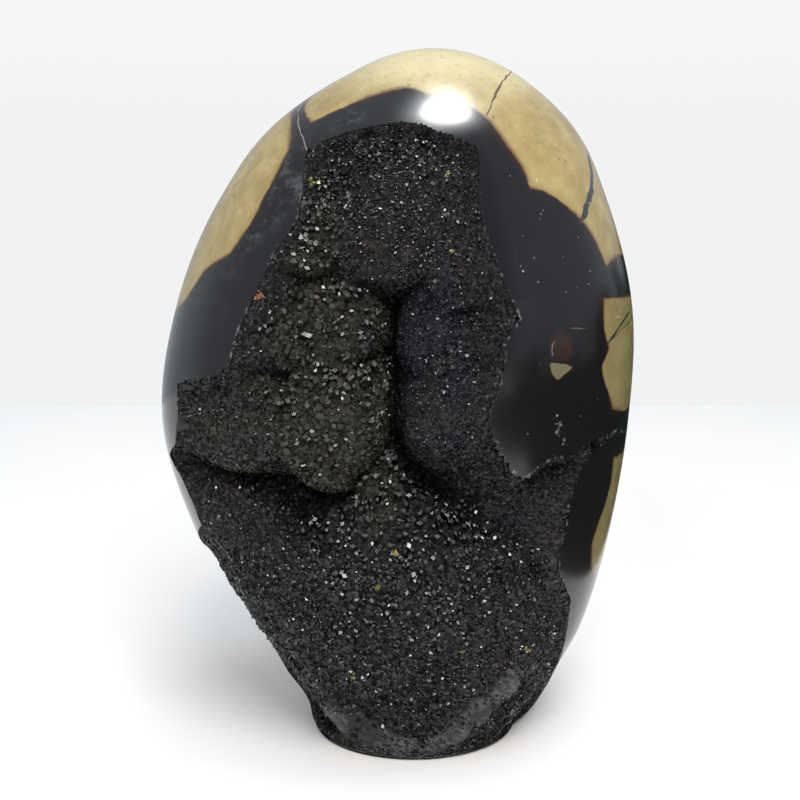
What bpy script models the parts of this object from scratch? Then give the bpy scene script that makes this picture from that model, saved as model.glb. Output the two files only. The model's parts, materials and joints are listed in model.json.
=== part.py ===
"""Septarian nodule: a mudstone nodule ground to an egg, polished, and cut flat at its foot.

The stone is one piece. Its front is broken open on a hollow, and one crust of calcite crystals
lines that hollow, so the crust is the second piece.

Sizes are in millimetres and degrees. A place on the stone is a bearing, in degrees round the
stone from the front towards its right, and a height above the foot. A depth is measured level,
from the polished skin in towards the stone's upright axis.
"""

import math

import bmesh
import bpy
import numpy as np
from mathutils import Vector, noise

MM = 0.001

# Driving dimensions of the stone
STONE_TOP = 190.0
EGG_BOTTOM = -5.0  # where the egg would end if its foot weren't cut flat
DEPTH_TO_WIDTH = 0.79
FOOT_ROUNDING = 1.0
EGG_COLUMNS = 50
EGG_ROWS = 32

# Level sections of the egg: height, half width, middle in x, middle in y
SECTIONS = (
    (0.0, 27.0, 3.5, -7.0),
    (6.0, 32.5, 6.0, -5.5),
    (15.0, 38.5, 5.0, -4.0),
    (32.0, 48.5, 3.5, -1.5),
    (58.0, 58.5, 0.5, 0.0),
    (90.0, 65.0, -1.5, 0.0),
    (122.0, 62.5, 1.0, 0.0),
    (152.0, 51.5, 3.5, 0.0),
    (172.0, 37.5, 6.5, 0.0),
    (184.0, 20.5, 9.0, 0.0),
)

# Slow swells that keep the egg from being a turned one: bearing, height, reach, push outwards
SWELLS = (
    (-75.0, 183.0, 17.0, 1.2),
    (150.0, 140.0, 45.0, 1.4),
    (-140.0, 80.0, 50.0, -1.6),
    (110.0, 45.0, 35.0, 1.2),
    (175.0, 40.0, 35.0, -1.2),
)
SWELL_FADE = 30.0  # half width under which the swells fade out

# The hollow's rim, clockwise from its top left corner: bearing, height
RIM = (
    (-48.0, 167.0),
    (-36.0, 168.0),
    (-23.0, 169.5),
    (-11.0, 170.5),
    (7.0, 170.5),
    (18.0, 170.0),
    (24.0, 168.0),
    (27.0, 164.5),
    (26.0, 159.0),
    (24.5, 154.0),
    (25.0, 149.5),
    (27.0, 141.5),
    (29.5, 133.0),
    (32.0, 124.0),
    (27.5, 119.0),
    (28.0, 112.5),
    (26.5, 106.5),
    (24.5, 102.5),
    (26.5, 96.5),
    (29.5, 90.5),
    (32.5, 86.5),
    (35.5, 84.0),
    (39.0, 86.0),
    (44.0, 89.0),
    (48.5, 88.0),
    (55.5, 90.5),
    (64.0, 92.0),
    (64.0, 89.5),
    (57.0, 87.5),
    (51.0, 78.0),
    (51.5, 70.5),
    (50.0, 61.0),
    (52.0, 55.0),
    (60.0, 45.5),
    (62.5, 37.5),
    (66.0, 29.5),
    (75.0, 20.0),
    (82.0, 12.0),
    (84.0, 1.2),
    (-84.0, 1.2),
    (-90.0, 12.0),
    (-94.0, 26.0),
    (-94.0, 40.0),
    (-88.0, 52.0),
    (-76.0, 60.0),
    (-67.0, 65.5),
    (-66.5, 72.0),
    (-69.0, 78.5),
    (-76.0, 83.0),
    (-68.0, 88.0),
    (-65.5, 96.5),
    (-67.0, 104.5),
    (-62.0, 106.5),
    (-52.5, 108.5),
    (-47.5, 112.0),
    (-47.0, 120.0),
    (-45.0, 127.0),
    (-43.0, 133.0),
    (-40.5, 141.5),
    (-37.0, 147.0),
    (-39.0, 153.0),
    (-43.0, 160.0),
)

# Swollen lobes of the hollow: bearing, height, half span in bearing, half height, depth of the
# crown under the skin, and how far the lobe's edge lies behind its crown
LOBES = {
    "crown boss": (-11.0, 157.5, 44.0, 27.5, 1.6, 9.0),
    "left high boss": (-34.0, 146.0, 12.0, 13.0, 2.2, 4.0),
    "left middle boss": (-31.0, 121.0, 22.0, 13.0, 3.6, 7.0),
    "left ball": (-23.0, 97.0, 17.5, 18.0, 1.0, 11.0),
    "left shoulder": (-55.0, 96.0, 23.0, 13.5, 2.2, 3.0),
    "right high boss": (19.0, 138.0, 14.0, 13.0, 5.0, 5.0),
    "right middle boss": (13.0, 120.0, 15.0, 14.0, 8.0, 6.0),
    "right low boss": (18.5, 101.0, 15.0, 16.0, 3.5, 8.0),
    "right wall": (47.0, 70.0, 15.0, 18.0, 8.0, 6.0),
    "dome crest": (-6.0, 68.5, 11.0, 16.5, 5.0, 6.0),
    "dome ridge": (-5.0, 50.0, 32.0, 29.0, 1.2, 8.0),
    "left flank": (-64.0, 56.0, 32.0, 24.5, 1.8, 4.0),
    "lower dome": (-4.0, 18.0, 110.0, 52.0, 1.5, 4.5),
    "right flank": (50.0, 30.0, 42.0, 26.0, 1.0, 3.0),
}
RIM_STEP = 9.0
RIM_DEPTH = 1.8
RIM_SLOPE = 2.0

LOBE_BLEND = 1.1
LOBE_SHOULDER = 0.94  # share of a lobe's span where its rounded cap turns into a wall
LOBE_WALL = 75.0
CLEFT_DEPTH = 30.0
CLEFT_SHARE = 0.6  # of the stone's own radius, where the stone is thin

# Crystal crust
CRUST_THICKNESS = 4.0
CRUST_GAP = 0.5
BACK_GAP = 0.6
CRYSTAL_CELL = 5.2
CRYSTAL_LENGTH = 2.3
CRYSTAL_JITTER = 0.28
TIP_JITTER = 0.2
SHORTEST_CRYSTAL = 0.45
CRYSTAL_SEED = 41
LUMP_SIZE = 9.0
LUMP_HEIGHT = 1.1
LUMP_SLICE = 3.7  # which slice of the noise gives the lumps
SKIN_CLEARANCE = 0.25
BACK_CELL = 9.0
BACK_REACH = 5.0

# The map of the hollow, a flat sheet that is wrapped on the stone
MAP_LEFT = -104.0
MAP_RIGHT = 94.0
MAP_BOTTOM = -2.0
MAP_TOP = 178.0
MAP_OUTSIDE = -8.0
PRISM_OUTSIDE = -15.0
PRISM_INSIDE = 70.0
PRISM_STEP = 8.0

# How far in the blocks reach, as shares of the stone's radius
RIM_BODY_SHARE = 0.86
CRYSTAL_BLOCK_SHARE = 0.90
STONE_BLOCK_SHARE = 0.94

MUDSTONE = (0.55, 0.46, 0.28, 1.0)
DARK_CALCITE = (0.020, 0.019, 0.017, 1.0)


def smooth_read(stations, values, at):
    """Read a smooth curve through the stations, with its tangents from their neighbours."""
    slopes = np.gradient(values, stations)
    index = np.clip(np.searchsorted(stations, at) - 1, 0, len(stations) - 2)
    width = stations[index + 1] - stations[index]
    t = np.clip((at - stations[index]) / width, 0.0, 1.0)
    from_value = values[index] * (1 + 2 * t) * (1 - t) ** 2
    to_value = values[index + 1] * t * t * (3 - 2 * t)
    from_slope = slopes[index] * width * t * (1 - t) ** 2
    to_slope = slopes[index + 1] * width * t * t * (t - 1)
    return from_value + to_value + from_slope + to_slope


def level_section(height):
    """Half width, half depth and middle of the egg at each height."""
    middle = (STONE_TOP + EGG_BOTTOM) / 2
    reach = (STONE_TOP - EGG_BOTTOM) / 2
    table = np.array(SECTIONS)
    stations = (table[:, 0] - middle) / reach
    fullness = table[:, 1] / np.sqrt(1 - stations ** 2)
    at = np.clip((height - middle) / reach, -1.0, 1.0)
    half_width = np.sqrt(1 - at ** 2) * smooth_read(stations, fullness, at)
    middle_x = smooth_read(stations, table[:, 2], at)
    middle_y = smooth_read(stations, table[:, 3], at)
    return half_width, half_width * DEPTH_TO_WIDTH, middle_x, middle_y


def skin_radius(bearing, height):
    """Level distance from the stone's axis to its polished skin."""
    half_width, half_depth, _, _ = level_section(height)
    turn = np.radians(bearing)
    across = np.sin(turn) / np.maximum(half_width, 1e-6)
    along = np.cos(turn) / np.maximum(half_depth, 1e-6)
    radius = 1 / np.sqrt(across ** 2 + along ** 2)
    fade = np.minimum(half_width / SWELL_FADE, 1)
    for at_bearing, at_height, reach, push in SWELLS:
        round_way = np.radians((bearing - at_bearing + 180) % 360 - 180) * radius
        distance = np.hypot(round_way, height - at_height)
        radius = radius + push * np.exp(-(distance / reach) ** 2) * fade
    return radius


def wrap(bearing, depth, height):
    """Points in metres for places given by bearing, depth and height."""
    _, _, middle_x, middle_y = level_section(height)
    radius = skin_radius(bearing, height) - depth
    turn = np.radians(bearing)
    x = middle_x + radius * np.sin(turn)
    y = middle_y - radius * np.cos(turn)
    return np.stack([x, y, height], axis=-1) * MM


def rim_distance(bearing, height):
    """Distance in from the rim, in map units of about a millimetre, and nought outside it."""
    nearest = np.full_like(bearing, np.inf)
    crossings = np.zeros_like(bearing)
    for start, end in zip(np.array(RIM), np.roll(RIM, -1, axis=0)):
        run = end - start
        along = (bearing - start[0]) * run[0] + (height - start[1]) * run[1]
        along = np.clip(along / (run @ run), 0, 1)
        aside = np.hypot(bearing - start[0] - along * run[0], height - start[1] - along * run[1])
        nearest = np.minimum(nearest, aside)
        if run[1]:
            level = (height - start[1]) / run[1]
            passes = (level >= 0) & (level < 1) & (start[0] + level * run[0] > bearing)
            crossings += passes
    return np.where(crossings % 2 == 1, nearest, 0.0)


def hollow_depth(bearing, height):
    """Depth of the hollow's smooth lobes and clefts, with no crystals."""
    wall = RIM_DEPTH + RIM_SLOPE * rim_distance(bearing, height)
    total = np.exp(-wall / LOBE_BLEND)
    for at_bearing, at_height, half_span, half_height, crown, edge in LOBES.values():
        across = (bearing - at_bearing) / half_span
        up = (height - at_height) / half_height
        share = np.hypot(across, up)
        cap = edge * (1 - np.sqrt(1 - np.minimum(share, LOBE_SHOULDER) ** 2))
        wall = LOBE_WALL * np.maximum(share - LOBE_SHOULDER, 0)
        total = total + np.exp(-(crown + cap + wall) / LOBE_BLEND)
    floor = np.minimum(CLEFT_DEPTH, CLEFT_SHARE * skin_radius(bearing, height))
    total = total + np.exp(-floor / LOBE_BLEND)
    return -LOBE_BLEND * np.log(total)


def back_depth(bearing, height):
    """Depth of the stone behind the crust: the deepest place of the hollow near each point."""
    deepest = hollow_depth(bearing, height)
    for aside, up in ((-1, 0), (1, 0), (0, -1), (0, 1), (-1, -1), (1, 1), (-1, 1), (1, -1)):
        near = hollow_depth(bearing + aside * BACK_REACH, height + up * BACK_REACH)
        deepest = np.maximum(deepest, near)
    return deepest + CRUST_THICKNESS


def lumps(bearing, height):
    """Small swellings of the crystal crust."""
    places = [Vector((b / LUMP_SIZE, h / LUMP_SIZE, LUMP_SLICE)) for b, h in zip(bearing, height)]
    return np.array([noise.noise(place) for place in places]) * LUMP_HEIGHT


def new_object(name, mesh, collection):
    thing = bpy.data.objects.new(name, mesh)
    collection.objects.link(thing)
    return thing


def finished_mesh(shape, name):
    mesh = bpy.data.meshes.new(name)
    shape.to_mesh(mesh)
    shape.free()
    return mesh


def map_net(cell):
    """A flat net of square cells over the whole map, standing upright at depth nought."""
    columns = round((MAP_RIGHT - MAP_LEFT) / cell)
    rows = round((MAP_TOP - MAP_BOTTOM) / cell)
    net = bmesh.new()
    bmesh.ops.create_grid(net, x_segments=columns, y_segments=rows, size=0.5)
    for vert in net.verts:
        across = MAP_LEFT + (vert.co.x + 0.5) * (MAP_RIGHT - MAP_LEFT)
        up = MAP_BOTTOM + (vert.co.y + 0.5) * (MAP_TOP - MAP_BOTTOM)
        vert.co = Vector((across, 0, up)) * MM
    return net


def map_places(verts):
    """Bearing, depth and height of points on the flat map."""
    places = np.array([vert.co[:] for vert in verts]) / MM
    return places[:, 0], places[:, 1], places[:, 2]


def set_depths(verts, depths):
    for vert, depth in zip(verts, depths):
        vert.co.y = depth * MM


def close_block(net, far_share):
    """Turn a net into a closed block that reaches in to a share of the stone's radius."""
    pulled = bmesh.ops.extrude_face_region(net, geom=net.faces[:])
    far = [item for item in pulled["geom"] if isinstance(item, bmesh.types.BMVert)]
    bearing, _, height = map_places(far)
    set_depths(far, skin_radius(bearing, height) * far_share)
    bmesh.ops.recalc_face_normals(net, faces=net.faces[:])


def wrap_shape(shape):
    """Wrap a shape that was made on the flat map round the stone."""
    bmesh.ops.triangulate(shape, faces=shape.faces[:], quad_method="FIXED")
    points = wrap(*map_places(shape.verts))
    for vert, point in zip(shape.verts, points):
        vert.co = point
    bmesh.ops.recalc_face_normals(shape, faces=shape.faces[:])


def stone_block(extra_depth):
    """The stone behind the crust, as a wrapped block."""
    net = map_net(BACK_CELL)
    bearing, _, height = map_places(net.verts)
    set_depths(net.verts, back_depth(bearing, height) + extra_depth)
    close_block(net, STONE_BLOCK_SHARE)
    wrap_shape(net)
    return finished_mesh(net, "stone block")


def crystal_block():
    """A wrapped block whose near face is a field of flat-faced crystals."""
    net = map_net(CRYSTAL_CELL)
    shake = np.random.default_rng(CRYSTAL_SEED)
    sway = CRYSTAL_CELL * CRYSTAL_JITTER
    for vert, (across, up) in zip(net.verts, shake.uniform(-sway, sway, (len(net.verts), 2))):
        vert.co += Vector((across, 0, up)) * MM
    bearing, _, height = map_places(net.verts)
    base = hollow_depth(bearing, height) - lumps(bearing, height)
    set_depths(net.verts, np.maximum(base, SKIN_CLEARANCE))
    tips = bmesh.ops.poke(net, faces=net.faces[:])["verts"]
    sway = CRYSTAL_CELL * TIP_JITTER
    lengths = shake.uniform(SHORTEST_CRYSTAL, 1.0, len(tips)) * CRYSTAL_LENGTH
    slides = shake.uniform(-sway, sway, (len(tips), 2))
    for tip, length, (across, up) in zip(tips, lengths, slides):
        depth = max(tip.co.y - length * MM, SKIN_CLEARANCE * MM)
        tip.co = Vector((tip.co.x + across * MM, depth, tip.co.z + up * MM))
    close_block(net, CRYSTAL_BLOCK_SHARE)
    wrap_shape(net)
    return finished_mesh(net, "crystal block")


def rim_outline():
    """The rim with its long runs divided, so that they bend with the stone when wrapped."""
    points = []
    for start, end in zip(RIM, RIM[1:] + RIM[:1]):
        start, end = np.array(start), np.array(end)
        steps = math.ceil(np.linalg.norm(end - start) / RIM_STEP)
        points += [start + (end - start) * step / steps for step in range(steps)]
    return np.array(points)


def rim_prism(inset):
    """The rim's outline as a prism through the flat map, drawn in by an inset."""
    outline = rim_outline()
    before = outline - np.roll(outline, 1, axis=0)
    after = np.roll(outline, -1, axis=0) - outline
    run = before / np.linalg.norm(before, axis=1)[:, None]
    run = run + after / np.linalg.norm(after, axis=1)[:, None]
    run = run / np.linalg.norm(run, axis=1)[:, None]
    outline = outline + np.stack([run[:, 1], -run[:, 0]], axis=1) * inset
    prism = bmesh.new()
    front = [prism.verts.new(Vector((b, PRISM_OUTSIDE, h)) * MM) for b, h in outline]
    pulled = bmesh.ops.extrude_face_region(prism, geom=[prism.faces.new(front)])["geom"]
    far = [item for item in pulled if isinstance(item, bmesh.types.BMVert)]
    set_depths(far, [PRISM_INSIDE] * len(far))
    for depth in np.arange(PRISM_OUTSIDE + PRISM_STEP, PRISM_INSIDE, PRISM_STEP):
        everything = prism.verts[:] + prism.edges[:] + prism.faces[:]
        bmesh.ops.bisect_plane(
            prism, geom=everything, dist=1e-7, plane_co=(0, depth * MM, 0), plane_no=(0, 1, 0))
    bmesh.ops.recalc_face_normals(prism, faces=prism.faces[:])
    return finished_mesh(prism, "rim prism")


def rim_body(inset):
    """All that lies within the rim, from outside the skin to near the axis, wrapped."""
    slab = map_net(BACK_CELL)
    set_depths(slab.verts, [MAP_OUTSIDE] * len(slab.verts))
    close_block(slab, RIM_BODY_SHARE)
    flat = combine(finished_mesh(slab, "slab"), [("INTERSECT", rim_prism(inset))])
    shape = bmesh.new()
    shape.from_mesh(flat)
    wrap_shape(shape)
    return finished_mesh(shape, "rim body")


def combine(first, steps):
    """Cut or trim a mesh by others in turn, and hand back the result."""
    scene = bpy.context.scene.collection
    body = new_object("body", first, scene)
    helpers = [new_object("helper", mesh, scene) for _, mesh in steps]
    for helper, (operation, _) in zip(helpers, steps):
        change = body.modifiers.new(operation.title(), "BOOLEAN")
        change.operation = operation
        change.object = helper
        change.solver = "EXACT"
    bpy.context.view_layer.update()
    evaluated = body.evaluated_get(bpy.context.evaluated_depsgraph_get())
    result = bpy.data.meshes.new_from_object(evaluated)
    for helper in [body] + helpers:
        mesh = helper.data
        bpy.data.objects.remove(helper)
        bpy.data.meshes.remove(mesh)
    return result


def egg_mesh():
    """The whole polished egg with its flat foot and no hollow."""
    egg = bmesh.new()
    bmesh.ops.create_uvsphere(egg, u_segments=EGG_COLUMNS, v_segments=EGG_ROWS, radius=1.0)
    unit = np.array([vert.co[:] for vert in egg.verts])
    middle = (STONE_TOP + EGG_BOTTOM) / 2
    reach = (STONE_TOP - EGG_BOTTOM) / 2
    height = middle + reach * unit[:, 2]
    half_width, half_depth, middle_x, middle_y = level_section(height)
    ring = np.maximum(np.hypot(unit[:, 0], unit[:, 1]), 1e-9)
    x = unit[:, 0] / ring * half_width
    y = unit[:, 1] / ring * half_depth
    bearing = np.degrees(np.arctan2(x, -y))
    points = wrap(bearing, np.zeros_like(bearing), height)
    for vert, point in zip(egg.verts, points):
        vert.co = point
    cut = bmesh.ops.bisect_plane(
        egg, geom=egg.verts[:] + egg.edges[:] + egg.faces[:], dist=1e-6,
        plane_co=(0, 0, 0), plane_no=(0, 0, -1), clear_outer=True)
    edge = [item for item in cut["geom_cut"] if isinstance(item, bmesh.types.BMEdge)]
    bmesh.ops.contextual_create(egg, geom=edge)
    bmesh.ops.bevel(
        egg, geom=edge, affect="EDGES", offset=FOOT_ROUNDING * MM, segments=2,
        profile=0.5, material=-1)
    bmesh.ops.triangulate(egg, faces=egg.faces[:])
    bmesh.ops.recalc_face_normals(egg, faces=egg.faces[:])
    return finished_mesh(egg, "nodule")


def stone_material(name, colour, roughness):
    material = bpy.data.materials.new(name)
    material.use_nodes = True
    shader = material.node_tree.nodes["Principled BSDF"]
    shader.inputs["Base Color"].default_value = colour
    shader.inputs["Roughness"].default_value = roughness
    shader.inputs["Metallic"].default_value = 0.0
    return material


def clear_scene():
    for thing in list(bpy.data.objects):
        bpy.data.objects.remove(thing)


def build():
    clear_scene()
    parts = bpy.data.collections.new("Septarian nodule")
    cutters = bpy.data.collections.new("Cutters")
    for collection in (parts, cutters):
        bpy.context.scene.collection.children.link(collection)

    hollow_mesh = combine(rim_body(0.0), [("DIFFERENCE", stone_block(BACK_GAP))])
    hollow = new_object("hollow_cutter", hollow_mesh, cutters)
    hollow.hide_render = True
    hollow.display_type = "WIRE"

    nodule = new_object("nodule", egg_mesh(), parts)
    nodule.data.materials.append(stone_material("polished mudstone", MUDSTONE, 0.12))
    opening = nodule.modifiers.new("Hollow", "BOOLEAN")
    opening.operation = "DIFFERENCE"
    opening.object = hollow
    opening.solver = "EXACT"

    crust_mesh = combine(
        crystal_block(), [("INTERSECT", rim_body(CRUST_GAP)), ("DIFFERENCE", stone_block(0.0))])
    crust = new_object("crystal_crust", crust_mesh, parts)
    crust.data.materials.append(stone_material("black calcite crystals", DARK_CALCITE, 0.2))


build()
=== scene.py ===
"""Septarian nodule: a polished egg of mudstone and dark calcite, broken open on a crystal hollow.

The stone's sizes are in millimetres and degrees. A place on it is a bearing, in degrees round the
stone from the front towards its right, and a height above the foot. A depth is measured level,
from the polished skin in towards the stone's upright axis.
"""

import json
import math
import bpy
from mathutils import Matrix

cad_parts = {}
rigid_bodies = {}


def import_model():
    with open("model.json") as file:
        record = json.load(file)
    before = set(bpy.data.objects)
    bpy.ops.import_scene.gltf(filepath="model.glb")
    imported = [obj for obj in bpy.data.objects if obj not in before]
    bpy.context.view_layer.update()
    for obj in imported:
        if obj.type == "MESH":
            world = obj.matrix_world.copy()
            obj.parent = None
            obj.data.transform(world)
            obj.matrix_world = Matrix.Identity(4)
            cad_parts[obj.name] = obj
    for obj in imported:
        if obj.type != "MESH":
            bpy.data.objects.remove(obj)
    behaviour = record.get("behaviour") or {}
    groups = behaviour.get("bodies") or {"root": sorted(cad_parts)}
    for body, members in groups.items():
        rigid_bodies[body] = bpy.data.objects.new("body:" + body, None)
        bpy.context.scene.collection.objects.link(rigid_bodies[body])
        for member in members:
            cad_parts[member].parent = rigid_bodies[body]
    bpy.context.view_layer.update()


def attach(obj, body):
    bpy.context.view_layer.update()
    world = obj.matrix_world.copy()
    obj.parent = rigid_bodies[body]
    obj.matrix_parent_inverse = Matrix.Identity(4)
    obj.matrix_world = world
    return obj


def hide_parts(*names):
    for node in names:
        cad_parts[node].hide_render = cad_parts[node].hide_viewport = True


bl_info = {
    "name": "Septarian Nodule",
    "version": (1, 0, 0),
    "blender": (4, 5, 0),
    "location": "3D View > Sidebar > Nodule",
    "description": "Builds a polished septarian nodule with a crystal-lined hollow",
    "category": "Add Mesh",
}

import bmesh
import bpy
import numpy as np
from mathutils import Vector, noise

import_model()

MM = 0.001

# The egg, as in the solid
STONE_TOP = 190.0
EGG_BOTTOM = -5.0
DEPTH_TO_WIDTH = 0.79
FOOT_ROUNDING = 1.0

# Level sections of the egg: height, half width, middle in x, middle in y
SECTIONS = (
    (0.0, 27.0, 3.5, -7.0),
    (6.0, 32.5, 6.0, -5.5),
    (15.0, 38.5, 5.0, -4.0),
    (32.0, 48.5, 3.5, -1.5),
    (58.0, 58.5, 0.5, 0.0),
    (90.0, 65.0, -1.5, 0.0),
    (122.0, 62.5, 1.0, 0.0),
    (152.0, 51.5, 3.5, 0.0),
    (172.0, 37.5, 6.5, 0.0),
    (184.0, 20.5, 9.0, 0.0),
)

# Slow swells of the egg: bearing, height, reach, push outwards
SWELLS = (
    (-75.0, 183.0, 17.0, 1.2),
    (150.0, 140.0, 45.0, 1.4),
    (-140.0, 80.0, 50.0, -1.6),
    (110.0, 45.0, 35.0, 1.2),
    (175.0, 40.0, 35.0, -1.2),
)
SWELL_FADE = 30.0

# The hollow's rim, clockwise from its top left corner: bearing, height
RIM = (
    (-45.0, 163.5),
    (-40.0, 166.0),
    (-32.0, 168.0),
    (-23.0, 169.4),
    (-11.0, 170.4),
    (-3.0, 170.0),
    (6.0, 168.2),
    (16.0, 166.4),
    (21.5, 164.5),
    (22.5, 161.0),
    (22.0, 157.0),
    (21.5, 151.0),
    (22.8, 143.8),
    (26.3, 135.9),
    (28.6, 131.5),
    (32.0, 124.0),
    (27.5, 119.0),
    (28.0, 112.5),
    (26.5, 106.5),
    (24.5, 102.5),
    (26.5, 96.5),
    (29.5, 90.5),
    (32.5, 86.5),
    (35.5, 84.0),
    (39.0, 86.0),
    (44.0, 89.0),
    (48.5, 88.0),
    (55.5, 90.5),
    (64.0, 92.0),
    (64.0, 89.5),
    (57.0, 87.5),
    (51.0, 78.0),
    (51.5, 70.5),
    (50.0, 61.0),
    (52.0, 55.0),
    (60.0, 45.5),
    (62.5, 37.5),
    (66.0, 29.5),
    (75.0, 20.0),
    (82.0, 12.0),
    (84.0, 1.2),
    (-84.0, 1.2),
    (-90.0, 12.0),
    (-94.0, 26.0),
    (-94.0, 40.0),
    (-88.0, 52.0),
    (-76.0, 60.0),
    (-67.0, 65.5),
    (-66.5, 72.0),
    (-69.0, 78.5),
    (-76.0, 83.0),
    (-68.0, 88.0),
    (-65.5, 96.5),
    (-67.0, 104.5),
    (-62.0, 106.5),
    (-52.5, 108.5),
    (-47.5, 112.0),
    (-47.0, 120.0),
    (-45.0, 127.0),
    (-43.0, 133.0),
    (-40.5, 141.5),
    (-37.0, 147.0),
    (-39.0, 153.0),
    (-43.0, 160.0),
)

# Lobes of the hollow: bearing, height, half span, half height, crown depth, how far the edge lies
# behind the crown, size of the crystals, warmth of their colour from blue-grey to olive, share of
# crystals that flash towards the viewer
LOBES = {
    "crown boss": (-11.0, 157.5, 44.0, 27.5, 1.6, 9.0, 0.72, -0.15, 0.10),
    "left high boss": (-34.0, 146.0, 12.0, 13.0, 2.2, 4.0, 1.5, 1.0, 0.45),
    "left middle boss": (-31.0, 121.0, 22.0, 13.0, 3.6, 7.0, 1.4, 0.45, 0.13),
    "left ball": (-23.0, 97.0, 17.5, 18.0, 1.0, 11.0, 1.4, 0.65, 0.18),
    "left shoulder": (-55.0, 96.0, 23.0, 13.5, 2.2, 3.0, 1.05, 0.35, 0.05),
    "right high boss": (19.0, 138.0, 14.0, 13.0, 5.0, 5.0, 0.8, -0.30, 0.05),
    "right middle boss": (13.0, 120.0, 15.0, 14.0, 8.0, 6.0, 0.7, -0.55, 0.05),
    "right low boss": (18.5, 101.0, 15.0, 16.0, 3.5, 8.0, 0.75, -0.35, 0.05),
    "right wall": (47.0, 70.0, 15.0, 18.0, 8.0, 6.0, 0.7, -0.4, 0.02),
    "dome crest": (-6.0, 68.5, 11.0, 16.5, 5.0, 6.0, 1.3, 0.5, 0.26),
    "dome ridge": (-5.0, 50.0, 32.0, 29.0, 1.2, 8.0, 1.3, 0.1, 0.24),
    "left flank": (-64.0, 56.0, 32.0, 24.5, 1.8, 4.0, 0.8, -0.3, 0.06),
    "lower dome": (-4.0, 18.0, 110.0, 52.0, 1.5, 4.5, 1.1, 0.0, 0.20),
    "right flank": (50.0, 30.0, 42.0, 26.0, 1.0, 3.0, 0.75, -0.1, 0.08),
}
RIM_DEPTH = 0.1
RIM_SLOPE = 1.7
LOBE_BLEND = 2.0
LOBE_SHOULDER = 0.94
LOBE_WALL = 75.0
CLEFT_DEPTH = 30.0
CLEFT_SHARE = 0.6

# Small knobs on the lobes: bearing, height, reach, push outwards
KNOBS = (
    (11.0, 149.0, 6.0, 1.4),
    (-9.0, 150.0, 6.0, 1.2),
    (0.0, 142.0, 5.0, 1.6),
    (-20.0, 160.0, 7.0, 0.8),
    (-31.0, 150.0, 4.5, 1.2),
    (-38.0, 138.0, 4.0, 1.0),
    (-20.0, 126.0, 5.0, 1.2),
    (-40.0, 119.0, 5.0, 1.0),
    (-14.0, 104.0, 5.0, 1.1),
    (-32.0, 90.0, 5.5, 1.2),
    (-21.0, 84.0, 4.5, 1.4),
    (17.0, 126.0, 5.0, 1.2),
    (24.0, 108.0, 5.0, 1.2),
    (13.0, 93.0, 4.5, 1.2),
    (-6.0, 76.0, 4.0, 1.2),
    (-16.0, 55.0, 6.5, 1.1),
    (10.0, 50.0, 6.5, 1.0),
    (-32.0, 33.0, 7.0, 1.3),
    (-10.0, 28.0, 7.0, 0.9),
    (22.0, 22.0, 7.0, 0.9),
    (-52.0, 52.0, 7.0, 1.0),
    (-48.0, 20.0, 5.0, 1.4),
)

# Where the foot's grinding took the crystals down to the skin: bearing, height, half span,
# half height
GROUND_PATCHES = (
    (21.6, 8.5, 11.0, 6.0),
    (10.0, 5.0, 10.0, 4.5),
    (31.5, 14.5, 9.0, 6.0),
    (42.5, 22.5, 8.0, 6.5),
    (-50.0, 9.0, 12.0, 6.0),
    (-31.0, 6.0, 15.0, 5.0),
    (-12.0, 4.0, 14.0, 3.5),
)
GROUND_DEPTH = 0.06
DASH_WAY = (0.66, 0.45, -0.60)
LUMP_SIZE = 9.0
LUMP_HEIGHT = 1.1
LUMP_SLICE = 3.7
SMALL_LUMP_SIZE = 3.2
SMALL_LUMP_HEIGHT = 0.9

# The hollow's body that is cut from the egg
CRUST_THICKNESS = 4.0
BACK_GAP = 0.6
BACK_CELL = 9.0
BACK_REACH = 5.0
MAP_LEFT = -104.0
MAP_RIGHT = 94.0
MAP_BOTTOM = -2.0
MAP_TOP = 178.0
MAP_OUTSIDE = -8.0
PRISM_OUTSIDE = -15.0
PRISM_INSIDE = 70.0
PRISM_STEP = 8.0
RIM_BODY_SHARE = 0.86
STONE_BLOCK_SHARE = 0.94

# Teeth that crystals leave along the rim: bearing, height, reach, depth of the teeth
TOOTHED_EDGES = (
    (31.0, 92.0, 11.0, 2.1),
    (-58.0, 106.5, 11.0, 0.9),
    (24.5, 120.0, 12.0, 0.8),
    (0.0, 168.0, 30.0, 0.6),
    (51.0, 68.0, 14.0, 0.7),
    (46.0, 88.0, 9.0, 0.7),
    (-44.0, 128.0, 12.0, 0.5),
)
PLAIN_TOOTH = 0.25
TOOTH_STEP = 1.15

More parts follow.
